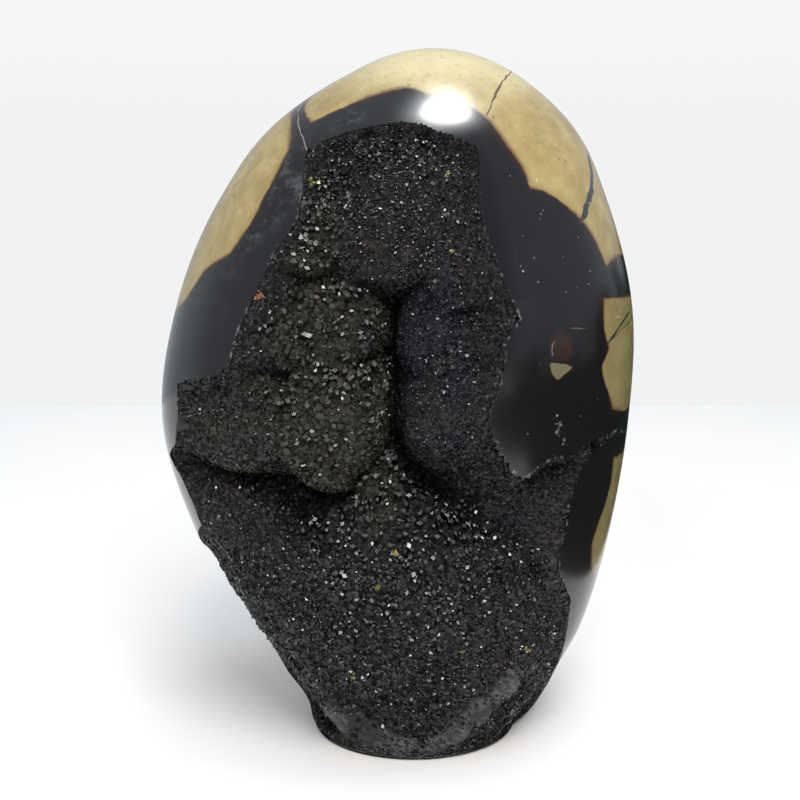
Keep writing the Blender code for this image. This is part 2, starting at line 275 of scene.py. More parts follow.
# The dark calcite round the hollow, clockwise, as smooth runs that meet at corners
DARK_RUNS = (
    ((-100.0, 183.0), (-84.0, 178.5), (-66.0, 174.0), (-52.5, 170.3)),
    (
        (-52.5, 170.3), (-45.0, 173.1), (-33.0, 176.5), (-19.0, 178.4), (-10.0, 178.1),
        (0.0, 176.6), (11.0, 174.9), (21.0, 173.7), (25.5, 172.2), (28.0, 171.0),
        (32.7, 165.8), (37.5, 160.5), (39.3, 157.0), (39.3, 154.4),
    ),
    (
        (39.3, 154.4), (45.2, 153.6), (50.4, 151.3), (56.0, 147.6), (59.5, 144.5),
        (61.4, 141.5), (62.9, 138.2), (64.4, 134.4),
    ),
    ((64.4, 134.4), (68.5, 135.8), (76.0, 136.6), (84.0, 136.0), (94.0, 133.6), (106.0, 131.0)),
    ((106.0, 130.0), (94.0, 127.6), (84.0, 126.0), (69.5, 126.5), (60.5, 127.2)),
    (
        (60.5, 127.2), (60.0, 118.2), (61.6, 114.5), (58.8, 110.1), (61.1, 104.6),
        (63.5, 100.5), (65.2, 97.8),
    ),
    ((65.2, 97.8), (73.2, 95.8), (82.0, 95.4), (92.0, 93.6), (104.0, 91.5)),
    ((104.0, 90.5), (92.0, 86.5), (82.0, 84.4), (75.7, 83.6), (68.8, 84.3)),
    (
        (68.8, 84.3), (69.6, 76.8), (68.4, 71.3), (66.0, 66.0), (64.8, 60.6), (66.7, 55.1),
        (80.0, 43.6), (92.0, 36.0), (104.0, 22.0), (110.0, 8.0), (112.0, -6.0),
    ),
    ((112.0, -6.0), (-112.0, -6.0)),
    (
        (-112.0, -6.0), (-118.0, 20.0), (-122.0, 45.0), (-118.0, 70.0), (-110.0, 90.0),
        (-98.0, 108.0), (-84.0, 120.2), (-77.4, 122.7), (-72.7, 125.4), (-68.9, 129.7),
        (-65.7, 134.0), (-61.9, 136.0), (-57.2, 138.3),
    ),
    ((-57.2, 138.3), (-55.2, 141.8), (-53.2, 147.2), (-53.1, 152.3), (-52.5, 157.3), (-53.2, 163.7)),
    ((-53.2, 163.7), (-55.6, 166.1), (-62.2, 169.6), (-84.0, 176.1), (-100.0, 183.0)),
)
RUN_STEP = 1.6

# Pale feathers in the dark calcite: bearing, height, reach in millimetres
FROST = (
    (-55.0, 163.0, 4.5),
    (-48.0, 158.0, 5.0),
    (-50.0, 151.0, 5.5),
    (-42.0, 154.0, 3.0),
    (-57.4, 137.5, 4.5),
    (-50.5, 143.0, 3.0),
    (-67.0, 132.0, 5.0),
    (-36.0, 171.5, 3.0),
    (30.0, 3.0, 9.0),
    (46.0, 24.0, 9.0),
)

# White flecks in the polish: bearing, height, radius in millimetres
FLECKS = (
    (33.9, 135.2, 0.30),
    (33.3, 136.4, 0.16),
    (37.8, 138.2, 0.16),
    (38.2, 132.5, 0.20),
    (42.4, 148.4, 0.20),
    (43.4, 149.2, 0.16),
    (41.6, 147.3, 0.14),
    (54.6, 142.5, 0.16),
    (33.3, 157.5, 0.16),
    (56.7, 134.1, 0.16),
    (50.9, 130.6, 0.15),
    (46.9, 129.7, 0.17),
    (35.0, 143.5, 0.14),
    (47.5, 138.0, 0.13),
    (52.0, 98.5, 0.15),
    (36.0, 96.0, 0.16),
    (57.8, 102.0, 0.13),
)

# A corner of mudstone that stands alone in the dark calcite, and the rusty patch above it
CREAM_ISLAND = ((40.8, 113.0), (44.2, 112.7), (48.2, 111.2), (45.8, 109.8), (43.4, 108.4), (41.8, 110.2))
ISLAND_PLACE = (44.2, 0.0, 111.0)
ISLAND_REACH = 6.0
RUSTY_PATCH = (
    (41.3, 120.4), (44.7, 120.9), (47.9, 119.7), (49.0, 115.5), (48.0, 111.6), (44.5, 112.4),
    (41.0, 113.7), (40.0, 117.4),
)

# Veins and cracks: bearing, height, half width
BROWN_CRACKS = (
    (
        (28.5, 172.0, 0.30), (33.6, 175.3, 0.26), (39.6, 178.1, 0.24), (46.5, 180.2, 0.26),
        (57.3, 182.2, 0.22), (82.0, 184.4, 0.22), (120.0, 186.0, 0.18), (160.0, 184.0, 0.10),
    ),
    ((65.9, 127.0, 0.22), (66.6, 123.0, 0.16), (67.2, 119.6, 0.10)),
    ((84.0, 121.0, 0.30), (77.6, 120.0, 0.26), (67.6, 118.0, 0.20), (60.8, 115.6, 0.14)),
    ((71.7, 104.5, 0.10), (73.4, 99.5, 0.22), (74.3, 95.0, 0.22)),
    ((44.6, 152.9, 0.16), (45.6, 150.9, 0.10)),
    ((-86.0, 148.0, 0.12), (-78.0, 152.5, 0.16), (-70.0, 156.0, 0.12), (-64.0, 162.0, 0.10)),
)
DARK_VEINS = (
    (
        (57.5, 146.4, 0.85), (62.8, 150.1, 1.15), (68.2, 153.7, 1.10), (72.4, 157.4, 1.00),
        (75.6, 160.7, 0.85), (84.0, 165.8, 0.60), (94.0, 171.0, 0.35), (108.0, 176.0, 0.15),
    ),
    ((76.0, 122.0, 0.30), (72.0, 121.0, 0.42), (67.8, 119.4, 0.50), (63.2, 116.8, 0.45), (60.0, 115.0, 0.20)),
)
PALE_THREADS = (
    (
        (-84.0, 177.3, 0.16), (-72.0, 174.4, 0.14), (-62.6, 171.6, 0.16), (-55.0, 168.6, 0.14),
        (-49.0, 165.9, 0.18), (-44.3, 163.2, 0.14),
    ),
    ((42.3, 118.6, 0.16), (41.6, 116.6, 0.26), (41.6, 114.4, 0.18)),
    ((46.5, 121.2, 0.06), (50.0, 120.6, 0.10), (53.6, 120.4, 0.05)),
)
CRUMBLY_SEAMS = (
    ((52.0, 88.6, 1.2), (58.7, 89.8, 1.0), (62.0, 90.8, 0.9), (70.0, 91.0, 0.9), (80.0, 88.5, 0.7)),
    ((43.6, 99.6, 0.6), (45.4, 96.6, 1.8), (47.8, 93.2, 1.6), (49.0, 91.0, 0.5)),
)

# Middles of the mudstone panels on the sides and back, with dark seams between neighbours
PANELS = (
    (20.0, 187.0),
    (-105.0, 152.0),
    (175.0, 172.0),
    (112.0, 152.0),
    (112.0, 109.0),
    (112.0, 73.0),
    (122.0, 30.0),
    (160.0, 128.0),
    (-152.0, 132.0),
    (158.0, 82.0),
    (-165.0, 88.0),
    (-125.0, 96.0),
    (-140.0, 44.0),
    (172.0, 36.0),
)
SEAM_FRONT = 72.0
SEAM_BACK = 92.0
SEAM_HALF_WIDTH = 0.9
SEAM_SWELLING = 1.6
SEAM_WAVER = 5.0
SEAM_WAVE_LENGTH = 26.0
SEAM_SEED = 7

# How finely the polished egg is divided
EGG_COLUMNS = 340
EGG_ROWS = 260
FRONT_CROWDING = 0.35

# Crystals
CRUST_CELL = 1.6
CRUST_INSET = 0.1
CRUST_BACK = 1.6

# Crystals of like size are spread together: least and greatest grain, size of the spacing
GRAIN_CLASSES = ((0.0, 0.88, 0.80), (0.88, 1.17, 1.08), (1.17, 9.0, 1.38))

# The way that flashing crystals face, between the viewer and the lamp, and how far they stray
FLASH_WAY = (0.026, -0.735, 0.70)
FLASH_TURN = (0.0, -1.1, -1.74)
FLASH_SPREAD = 0.12
FLASH_SIZE = 1.3

# Long crystals that hang under the lobes: their share there, and how much longer they are
HANGING_SHARE = 0.75
HANGING_LENGTH = 1.5

# Yellow crystals among the dark ones: bearing, height, reach in millimetres
YELLOW_SPECKS = (
    (-38.4, 155.8, 0.8),
    (12.2, 158.0, 0.7),
    (14.8, 140.0, 0.5),
    (-1.8, 66.0, 0.9),
    (-7.8, 56.0, 0.8),
    (51.7, 86.2, 1.1),
    (-27.2, 26.9, 0.5),
    (20.2, 35.7, 0.7),
    (46.5, 33.0, 0.9),
    (-44.6, 129.2, 1.2),
)
SKIN_CLEARANCE = 0.03
FOOT_CLEARANCE = 0.35
ZONES = {
    "crystals_upper_left": ((-104.0, 79.0), (-4.0, 178.0)),
    "crystals_upper_right": ((-4.0, 79.0), (94.0, 178.0)),
    "crystals_lower_left": ((-104.0, -2.0), (-6.0, 79.0)),
    "crystals_lower_right": ((-6.0, -2.0), (94.0, 79.0)),
}

# Stage
CAMERA_PLACE = (0.0, -0.317, 0.1623)
CAMERA_TILT = 78.0
CAMERA_LENS = 51.75

# The room's brightness as the polish mirrors it
DARK_FRONT = 0.22
SIDE_WALLS = 0.43
BACK_WALL = 0.60
CEILING = 0.6
HALO = 6.0
HALO_REACH = 21.0
FLAG_X, FLAG_Y, FLAG_DEEP, FLAG_HIGH, FLAG_SLOPE = 0.125, 0.035, 0.48, 0.152, 0.20
FLAG_FOOT, FLAG_FOOT_Y = 0.044, -0.105
FLOOR_LEFT, FLOOR_RIGHT, FLOOR_NEAR, FLOOR_FAR = -1.4, 1.4, -1.6, 0.43


class NoduleSettings(bpy.types.PropertyGroup):
    """Sizes and colours that a user might change."""
    crystal_width: bpy.props.FloatProperty(
        name="Crystal width", description="Width of a usual crystal", default=0.00135,
        subtype="DISTANCE", unit="LENGTH")
    crystal_height: bpy.props.FloatProperty(
        name="Crystal height", description="How far a usual crystal stands out of the crust",
        default=0.00085, subtype="DISTANCE", unit="LENGTH")
    crystal_spacing: bpy.props.FloatProperty(
        name="Crystal spacing", description="Least distance between two large crystals",
        default=0.00072, subtype="DISTANCE", unit="LENGTH")
    filler_spacing: bpy.props.FloatProperty(
        name="Filler spacing", description="Least distance between two of the small crystals",
        default=0.00062, subtype="DISTANCE", unit="LENGTH")
    filler_share: bpy.props.FloatProperty(
        name="Filler size", description="Size of the small crystals beside the large ones",
        default=0.72, min=0.2, max=1.0, subtype="FACTOR")
    mudstone: bpy.props.FloatVectorProperty(
        name="Mudstone", description="Colour of the cream mudstone", subtype="COLOR", size=4,
        default=(0.356, 0.268, 0.105, 1.0), min=0.0, max=1.0)
    pale_mudstone: bpy.props.FloatVectorProperty(
        name="Pale mudstone", description="Lighter clouds in the mudstone", subtype="COLOR",
        size=4, default=(0.50, 0.415, 0.20, 1.0), min=0.0, max=1.0)
    deep_mudstone: bpy.props.FloatVectorProperty(
        name="Deep mudstone", description="Darker clouds in the mudstone", subtype="COLOR",
        size=4, default=(0.250, 0.184, 0.066, 1.0), min=0.0, max=1.0)
    rust: bpy.props.FloatVectorProperty(
        name="Rust", description="Red-brown fringe where mudstone meets calcite",
        subtype="COLOR", size=4, default=(0.085, 0.030, 0.014, 1.0), min=0.0, max=1.0)
    calcite: bpy.props.FloatVectorProperty(
        name="Dark calcite", description="Colour of the polished dark calcite",
        subtype="COLOR", size=4, default=(0.0075, 0.0075, 0.0085, 1.0), min=0.0, max=1.0)
    crystal: bpy.props.FloatVectorProperty(
        name="Crystals", description="Colour of a usual crystal", subtype="COLOR", size=4,
        default=(0.0085, 0.0083, 0.0083, 1.0), min=0.0, max=1.0)
    warm_crystal: bpy.props.FloatVectorProperty(
        name="Olive crystals", description="Colour of the warmest crystals", subtype="COLOR",
        size=4, default=(0.0168, 0.0158, 0.0112, 1.0), min=0.0, max=1.0)
    cool_crystal: bpy.props.FloatVectorProperty(
        name="Blue-grey crystals", description="Colour of the coolest crystals",
        subtype="COLOR", size=4, default=(0.0042, 0.0048, 0.0068, 1.0), min=0.0, max=1.0)


def smooth_read(stations, values, at):
    """Read a smooth curve through the stations, with its tangents from their neighbours."""
    slopes = np.gradient(values, stations)
    index = np.clip(np.searchsorted(stations, at) - 1, 0, len(stations) - 2)
    width = stations[index + 1] - stations[index]
    t = np.clip((at - stations[index]) / width, 0.0, 1.0)
    from_value = values[index] * (1 + 2 * t) * (1 - t) ** 2
    to_value = values[index + 1] * t * t * (3 - 2 * t)
    from_slope = slopes[index] * width * t * (1 - t) ** 2
    to_slope = slopes[index + 1] * width * t * t * (t - 1)
    return from_value + to_value + from_slope + to_slope


def level_section(height):
    """Half width, half depth and middle of the egg at each height."""
    middle = (STONE_TOP + EGG_BOTTOM) / 2
    reach = (STONE_TOP - EGG_BOTTOM) / 2
    table = np.array(SECTIONS)
    stations = (table[:, 0] - middle) / reach
    fullness = table[:, 1] / np.sqrt(1 - stations ** 2)
    at = np.clip((height - middle) / reach, -1.0, 1.0)
    half_width = np.sqrt(1 - at ** 2) * smooth_read(stations, fullness, at)
    middle_x = smooth_read(stations, table[:, 2], at)
    middle_y = smooth_read(stations, table[:, 3], at)
    return half_width, half_width * DEPTH_TO_WIDTH, middle_x, middle_y


def skin_radius(bearing, height):
    """Level distance from the stone's axis to its polished skin."""
    half_width, half_depth, _, _ = level_section(height)
    turn = np.radians(bearing)
    across = np.sin(turn) / np.maximum(half_width, 1e-6)
    along = np.cos(turn) / np.maximum(half_depth, 1e-6)
    radius = 1 / np.sqrt(across ** 2 + along ** 2)
    fade = np.minimum(half_width / SWELL_FADE, 1)
    for at_bearing, at_height, reach, push in SWELLS:
        round_way = np.radians((bearing - at_bearing + 180) % 360 - 180) * radius
        distance = np.hypot(round_way, height - at_height)
        radius = radius + push * np.exp(-(distance / reach) ** 2) * fade
    return radius


def wrap(bearing, depth, height):
    """Points in metres for places given by bearing, depth and height."""
    _, _, middle_x, middle_y = level_section(height)
    radius = skin_radius(bearing, height) - depth
    turn = np.radians(bearing)
    x = middle_x + radius * np.sin(turn)
    y = middle_y - radius * np.cos(turn)
    return np.stack([x, y, height], axis=-1) * MM


def places_of(points):
    """Bearing, depth and height of points given in metres."""
    x, y, height = (points / MM).T
    _, _, middle_x, middle_y = level_section(height)
    bearing = np.degrees(np.arctan2(x - middle_x, middle_y - y))
    radius = np.hypot(x - middle_x, y - middle_y)
    return bearing, skin_radius(bearing, height) - radius, height


def skin_normals(points):
    """Directions straight out of the polished skin, at points in metres on it."""
    def outside(at):
        x, y, height = at.T
        _, _, middle_x, middle_y = level_section(height)
        bearing = np.degrees(np.arctan2(x - middle_x, middle_y - y))
        return (x - middle_x) ** 2 + (y - middle_y) ** 2 - skin_radius(bearing, height) ** 2
    step = 0.25
    slopes = []
    for axis in np.eye(3):
        slopes.append(outside(points / MM + axis * step) - outside(points / MM - axis * step))
    slopes = np.stack(slopes, axis=-1)
    return slopes / np.maximum(np.linalg.norm(slopes, axis=1), 1e-9)[:, None]


def chains(outline, closed):
    """Start and end of each stretch of an outline."""
    outline = np.array(outline)
    if closed:
        return list(zip(outline, np.roll(outline, -1, axis=0)))
    return list(zip(outline[:-1], outline[1:]))


def outline_distance(bearing, height, outline, across=1.0):
    """Distance from a closed outline, positive inside it; across is the size of a degree."""
    nearest = np.full_like(bearing, np.inf)
    crossings = np.zeros_like(bearing)
    for start, end in chains(outline, True):
        run = end - start
        run_x, run_y = run[0] * across, run[1]
        from_x = (bearing - start[0]) * across
        from_y = height - start[1]
        along = np.clip((from_x * run_x + from_y * run_y) / (run_x ** 2 + run_y ** 2), 0, 1)
        nearest = np.minimum(nearest, np.hypot(from_x - along * run_x, from_y - along * run_y))
        if run[1]:
            level = from_y / run[1]
            crossings += (level >= 0) & (level < 1) & (start[0] + level * run[0] > bearing)
    return np.where(crossings % 2 == 1, nearest, -nearest)


def hollow_form(bearing, height):
    """Depth of the hollow's lobes, and the size, warmth and flash of the crystals on them."""
    edge = np.maximum(outline_distance(bearing, height, RIM), 0)
    wall = np.exp(-(RIM_DEPTH + RIM_SLOPE * edge) / LOBE_BLEND)
    floor = np.minimum(CLEFT_DEPTH, CLEFT_SHARE * skin_radius(bearing, height))
    total = wall + np.exp(-floor / LOBE_BLEND)
    sizes = total * 0.8
    warmth = total * 0.0
    flashes = total * 0.0
    for lobe in LOBES.values():
        at_bearing, at_height, half_span, half_height, crown, fall, size, warm, flash = lobe
        across = (bearing - at_bearing) / half_span
        up = (height - at_height) / half_height
        share = np.hypot(across, up)
        cap = fall * (1 - np.sqrt(1 - np.minimum(share, LOBE_SHOULDER) ** 2))
        side = LOBE_WALL * np.maximum(share - LOBE_SHOULDER, 0)
        weight = np.exp(-(crown + cap + side) / LOBE_BLEND)
        total = total + weight
        sizes = sizes + weight * size
        warmth = warmth + weight * warm
        flashes = flashes + weight * flash
    return -LOBE_BLEND * np.log(total), sizes / total, warmth / total, flashes / total


def back_depth(bearing, height):
    """Depth of the stone behind the crust: the deepest place of the hollow near each point."""
    deepest = hollow_form(bearing, height)[0]
    for aside, up in ((-1, 0), (1, 0), (0, -1), (0, 1), (-1, -1), (1, 1), (-1, 1), (1, -1)):
        near = hollow_form(bearing + aside * BACK_REACH, height + up * BACK_REACH)[0]
        deepest = np.maximum(deepest, near)
    return deepest + CRUST_THICKNESS


def noise_at(bearing, height, size, piece=LUMP_SLICE):
    places = [Vector((b / size, h / size, piece)) for b, h in zip(bearing, height)]
    return np.array([noise.noise(place) for place in places])


def knobs(bearing, height):
    """How far the knobs and lumps stand out of the smooth lobes."""
    push = noise_at(bearing, height, LUMP_SIZE) * LUMP_HEIGHT
    push += noise_at(bearing, height, SMALL_LUMP_SIZE) * SMALL_LUMP_HEIGHT
    for at_bearing, at_height, reach, height_out in KNOBS:
        distance = np.hypot(bearing - at_bearing, height - at_height)
        push += height_out * np.exp(-(distance / reach) ** 2)
    return push


def finished_mesh(shape, name):
    mesh = bpy.data.meshes.new(name)
    shape.to_mesh(mesh)
    shape.free()
    return mesh


def new_object(name, mesh):
    thing = bpy.data.objects.new(name, mesh)
    bpy.context.scene.collection.objects.link(thing)
    return thing


def vertex_points(mesh):
    points = np.empty(len(mesh.vertices) * 3, dtype=np.float32)
    mesh.vertices.foreach_get("co", points)
    return points.reshape(-1, 3).astype(float)


def set_vertex_points(mesh, points):
    mesh.vertices.foreach_set("co", points.astype(np.float32).ravel())
    mesh.update()


def give_values(mesh, name, values):
    """Store one number for each vertex, for the materials to read."""
    store = mesh.attributes.new(name, "FLOAT", "POINT")
    store.data.foreach_set("value", np.asarray(values, dtype=np.float32))


def map_net(left, bottom, right, top, cell):
    """A flat net of square cells over a part of the map, standing upright at depth nought."""
    columns = round((right - left) / cell)
    rows = round((top - bottom) / cell)
    net = bmesh.new()
    bmesh.ops.create_grid(net, x_segments=columns, y_segments=rows, size=0.5)
    for vert in net.verts:
        across = left + (vert.co.x + 0.5) * (right - left)
        up = bottom + (vert.co.y + 0.5) * (top - bottom)
        vert.co = Vector((across, 0, up)) * MM
    return net


def whole_map_net(cell):
    return map_net(MAP_LEFT, MAP_BOTTOM, MAP_RIGHT, MAP_TOP, cell)


def map_places(verts):
    """Bearing, depth and height of points on the flat map."""
    places = np.array([vert.co[:] for vert in verts]) / MM
    return places[:, 0], places[:, 1], places[:, 2]


def set_depths(verts, depths):
    for vert, depth in zip(verts, depths):
        vert.co.y = depth * MM


def close_block(net, far_share):
    """Turn a net into a closed block that reaches in to a share of the stone's radius."""
    pulled = bmesh.ops.extrude_face_region(net, geom=net.faces[:])
    far = [item for item in pulled["geom"] if isinstance(item, bmesh.types.BMVert)]
    bearing, _, height = map_places(far)
    set_depths(far, skin_radius(bearing, height) * far_share)
    bmesh.ops.recalc_face_normals(net, faces=net.faces[:])


def wrap_shape(shape):
    """Wrap a shape that was made on the flat map round the stone."""
    bmesh.ops.triangulate(shape, faces=shape.faces[:], quad_method="FIXED")
    points = wrap(*map_places(shape.verts))
    for vert, point in zip(shape.verts, points):
        vert.co = point
    bmesh.ops.recalc_face_normals(shape, faces=shape.faces[:])


def stone_block(extra_depth):
    """The stone behind the crust, as a wrapped block."""
    net = whole_map_net(BACK_CELL)
    bearing, _, height = map_places(net.verts)
    set_depths(net.verts, back_depth(bearing, height) + extra_depth)
    close_block(net, STONE_BLOCK_SHARE)
    wrap_shape(net)
    return finished_mesh(net, "stone block")


def toothed_rim():
    """The rim with the small teeth that cut crystals leave along it."""
    shake = np.random.default_rng(7)
    points = []
    for start, end in chains(RIM, True):
        steps = max(1, round(np.linalg.norm(end - start) / TOOTH_STEP))
        aside = np.array([end[1] - start[1], start[0] - end[0]]) / np.linalg.norm(end - start)
        for step in range(steps):
            place = start + (end - start) * (step + shake.uniform(-0.25, 0.25)) / steps
            tooth = PLAIN_TOOTH
            for bearing, height, reach, depth in TOOTHED_EDGES:
                near = math.exp(-((place[0] - bearing) ** 2 + (place[1] - height) ** 2) / reach ** 2)
                tooth = max(tooth, depth * near)
            swing = shake.uniform(0.0, 1.0) if len(points) % 2 else -shake.uniform(-0.3, 0.6)
            if min(start[1], end[1]) < 2:
                swing = 0
            points.append(place + aside * tooth * swing)
    return points


def rim_prism():
    """The rim's outline as a prism through the flat map."""
    prism = bmesh.new()
    front = [prism.verts.new(Vector((b, PRISM_OUTSIDE, h)) * MM) for b, h in toothed_rim()]
    pulled = bmesh.ops.extrude_face_region(prism, geom=[prism.faces.new(front)])["geom"]
    far = [item for item in pulled if isinstance(item, bmesh.types.BMVert)]
    set_depths(far, [PRISM_INSIDE] * len(far))
    for depth in np.arange(PRISM_OUTSIDE + PRISM_STEP, PRISM_INSIDE, PRISM_STEP):
        everything = prism.verts[:] + prism.edges[:] + prism.faces[:]
        bmesh.ops.bisect_plane(
            prism, geom=everything, dist=1e-7, plane_co=(0, depth * MM, 0), plane_no=(0, 1, 0))
    bmesh.ops.recalc_face_normals(prism, faces=prism.faces[:])
    return finished_mesh(prism, "rim prism")


def combine(first, steps):
    """Cut or trim a mesh by others in turn, and hand back the result."""
    body = new_object("body", first)
    helpers = [new_object("helper", mesh) for _, mesh in steps]
    for helper, (operation, _) in zip(helpers, steps):
        change = body.modifiers.new(operation.title(), "BOOLEAN")
        change.operation = operation
        change.object = helper
        change.solver = "EXACT"
    result = evaluated_mesh(body)
    for helper in [body] + helpers:
        drop_object(helper)
    return result


def evaluated_mesh(thing):
    bpy.context.view_layer.update()
    evaluated = thing.evaluated_get(bpy.context.evaluated_depsgraph_get())
    return bpy.data.meshes.new_from_object(evaluated)


def drop_object(thing):
    mesh = thing.data
    bpy.data.objects.remove(thing)
    bpy.data.meshes.remove(mesh)


def hollow_cutter():
    """All that is hollowed out of the egg."""
    slab = whole_map_net(BACK_CELL)
    set_depths(slab.verts, [MAP_OUTSIDE] * len(slab.verts))
    close_block(slab, RIM_BODY_SHARE)
    flat = combine(finished_mesh(slab, "slab"), [("INTERSECT", rim_prism())])
    shape = bmesh.new()
    shape.from_mesh(flat)
    wrap_shape(shape)
    return combine(finished_mesh(shape, "rim body"), [("DIFFERENCE", stone_block(BACK_GAP))])


def egg_mesh():
    """The whole polished egg with its flat foot, finer in front than behind."""
    egg = bmesh.new()
    bmesh.ops.create_uvsphere(egg, u_segments=EGG_COLUMNS, v_segments=EGG_ROWS, radius=1.0)
    unit = np.array([vert.co[:] for vert in egg.verts])
    middle = (STONE_TOP + EGG_BOTTOM) / 2
    reach = (STONE_TOP - EGG_BOTTOM) / 2
    height = middle + reach * unit[:, 2]
    turn = np.arctan2(unit[:, 0], -unit[:, 1])
    bearing = np.degrees(turn - FRONT_CROWDING * np.sin(turn))
    points = wrap(bearing, np.zeros_like(bearing), height)
    for vert, point in zip(egg.verts, points):
        vert.co = point
    cut = bmesh.ops.bisect_plane(
        egg, geom=egg.verts[:] + egg.edges[:] + egg.faces[:], dist=1e-6,
        plane_co=(0, 0, 0), plane_no=(0, 0, -1), clear_outer=True)
    edge = [item for item in cut["geom_cut"] if isinstance(item, bmesh.types.BMEdge)]
    bmesh.ops.contextual_create(egg, geom=edge)
    bmesh.ops.bevel(
        egg, geom=edge, affect="EDGES", offset=FOOT_ROUNDING * MM, segments=3, profile=0.5,
        material=-1)
    bmesh.ops.recalc_face_normals(egg, faces=egg.faces[:])
    return finished_mesh(egg, "egg")


def smooth_outline(runs):
    """Points along smooth runs that meet at corners."""
    points = []
    for run in runs:
        run = np.array(run)
        stations = np.concatenate([[0], np.cumsum(np.linalg.norm(np.diff(run, axis=0), axis=1))])
        at = np.linspace(0, stations[-1], max(2, round(stations[-1] / RUN_STEP)), endpoint=False)
        across = smooth_read(stations, run[:, 0], at)
        up = smooth_read(stations, run[:, 1], at)
        points += list(zip(across, up))
    return points


def seam_field(points):
    """How far each point is inside a dark seam between the panels of the sides and back."""
    # Without a seed this noise would start from the clock
    noise.seed_set(SEAM_SEED)
    bearing, _, height = places_of(points)
    waver = np.array([noise.noise_vector(Vector(point) / (SEAM_WAVE_LENGTH * MM)) for point in points])
    moved = points / MM + waver * SEAM_WAVER
    panels = wrap(*np.array([(b, 0.0, h) for b, h in PANELS]).T) / MM
    squares = ((moved[:, None, :] - panels[None]) ** 2).sum(axis=2)
    order = np.argsort(squares, axis=1)[:, :2]
    rows = np.arange(len(points))
    apart = np.linalg.norm(panels[order[:, 0]] - panels[order[:, 1]], axis=1)
    edge = (squares[rows, order[:, 1]] - squares[rows, order[:, 0]]) / (2 * apart)
    swelling = np.array([noise.noise(Vector(point) / (SEAM_WAVE_LENGTH * MM) * 1.4) for point in points])
    half_width = SEAM_HALF_WIDTH + SEAM_SWELLING * np.clip(swelling + 0.25, 0, 1)
    share = np.clip((np.abs(bearing) - SEAM_FRONT) / (SEAM_BACK - SEAM_FRONT), 0, 1)
    return (half_width + 1.0) * share - 1.0 - edge * (share > 0) - 9.0 * (share == 0)


def vein_fields(bearing, height, across, veins):
    """Which side of the nearest vein each point is on, how far, and the vein's half width there."""
    nearest = np.full_like(bearing, 1e6)
    side = np.full_like(bearing, 1e3)
    half = np.full_like(bearing, -1.0)
    for vein in veins:
        for start, end in chains(vein, False):
            run_x, run_y = (end[0] - start[0]) * across, end[1] - start[1]
            from_x, from_y = (bearing - start[0]) * across, height - start[1]
            length = np.sqrt(run_x ** 2 + run_y ** 2)
            free = (from_x * run_x + from_y * run_y) / length ** 2
            along = np.clip(free, 0, 1)
            away = np.hypot(from_x - along * run_x, from_y - along * run_y)
            offset = (from_x * run_y - from_y * run_x) / length
            over = np.abs(free - along) * length
            closer = away < nearest
            nearest = np.where(closer, away, nearest)
            side = np.where(closer, offset, side)
            half = np.where(closer, start[2] + (end[2] - start[2]) * along - over, half)
    return side, half


def mark_skin(mesh):
    """Store the fields that the polish reads: where calcite, seams, cracks and rust lie."""
    points = vertex_points(mesh)
    bearing, depth, height = places_of(points)
    across = np.radians(1) * skin_radius(bearing, height)
    dark = outline_distance(bearing, height, smooth_outline(DARK_RUNS), across)
    island = outline_distance(bearing, height, CREAM_ISLAND, across)
    dark = np.minimum(dark, -island)
    dark = np.maximum(dark, seam_field(points))
    frost = np.zeros_like(bearing)
    for at_bearing, at_height, reach in FROST:
        away = np.hypot((bearing - at_bearing) * across, height - at_height)
        frost = np.maximum(frost, np.exp(-(away / reach) ** 2))
    give_values(mesh, "frost", frost)
    inside = depth > 0.2
    give_values(mesh, "rim", np.where(inside, 9.0, np.abs(outline_distance(bearing, height, RIM, across))))
    give_values(mesh, "dark", np.where(inside, 6.0, dark))
    give_values(mesh, "rusty", outline_distance(bearing, height, RUSTY_PATCH, across))
    for name, veins in (
            ("crack", BROWN_CRACKS), ("vein", DARK_VEINS), ("thread", PALE_THREADS),
            ("crumbs", CRUMBLY_SEAMS)):
        side, half = vein_fields(bearing, height, across, veins)
        give_values(mesh, name + "_side", side)
        give_values(mesh, name + "_half", np.where(inside, -1.0, half))


def smooth_skin(mesh):
    """Shade the polished skin by its true curve and leave the broken stone flat-faced."""
    points = vertex_points(mesh)
    _, depth, height = places_of(points)
    on_skin = (np.abs(depth) < 0.02) & (height > FOOT_ROUNDING * 1.2)
    curve = skin_normals(points)
    corner_vertex = np.empty(len(mesh.loops), dtype=np.int32)
    mesh.loops.foreach_get("vertex_index", corner_vertex)
    face_normals = np.empty(len(mesh.polygons) * 3, dtype=np.float32)
    mesh.polygons.foreach_get("normal", face_normals)
    face_normals = face_normals.reshape(-1, 3)
    corners = np.empty(len(mesh.polygons), dtype=np.int32)
    mesh.polygons.foreach_get("loop_total", corners)
    face_of_corner = np.repeat(np.arange(len(corners)), corners)
    flat = face_normals[face_of_corner]
    round_ones = curve[corner_vertex]
    agree = (flat * round_ones).sum(axis=1) > 0.9
    chosen = np.where((on_skin[corner_vertex] & agree)[:, None], round_ones, flat)
    mesh.polygons.foreach_set("use_smooth", np.ones(len(mesh.polygons), dtype=bool))
    mesh.normals_split_custom_set(chosen.tolist())


def ground_share(bearing, height):
    """How far the grinding of the foot reached each place, from nought to one."""
    share = np.zeros_like(bearing)
    for at_bearing, at_height, half_span, half_height in GROUND_PATCHES:
        away = ((bearing - at_bearing) / half_span) ** 2 + ((height - at_height) / half_height) ** 2
        share = np.maximum(share, np.exp(-away ** 1.5))
    return share


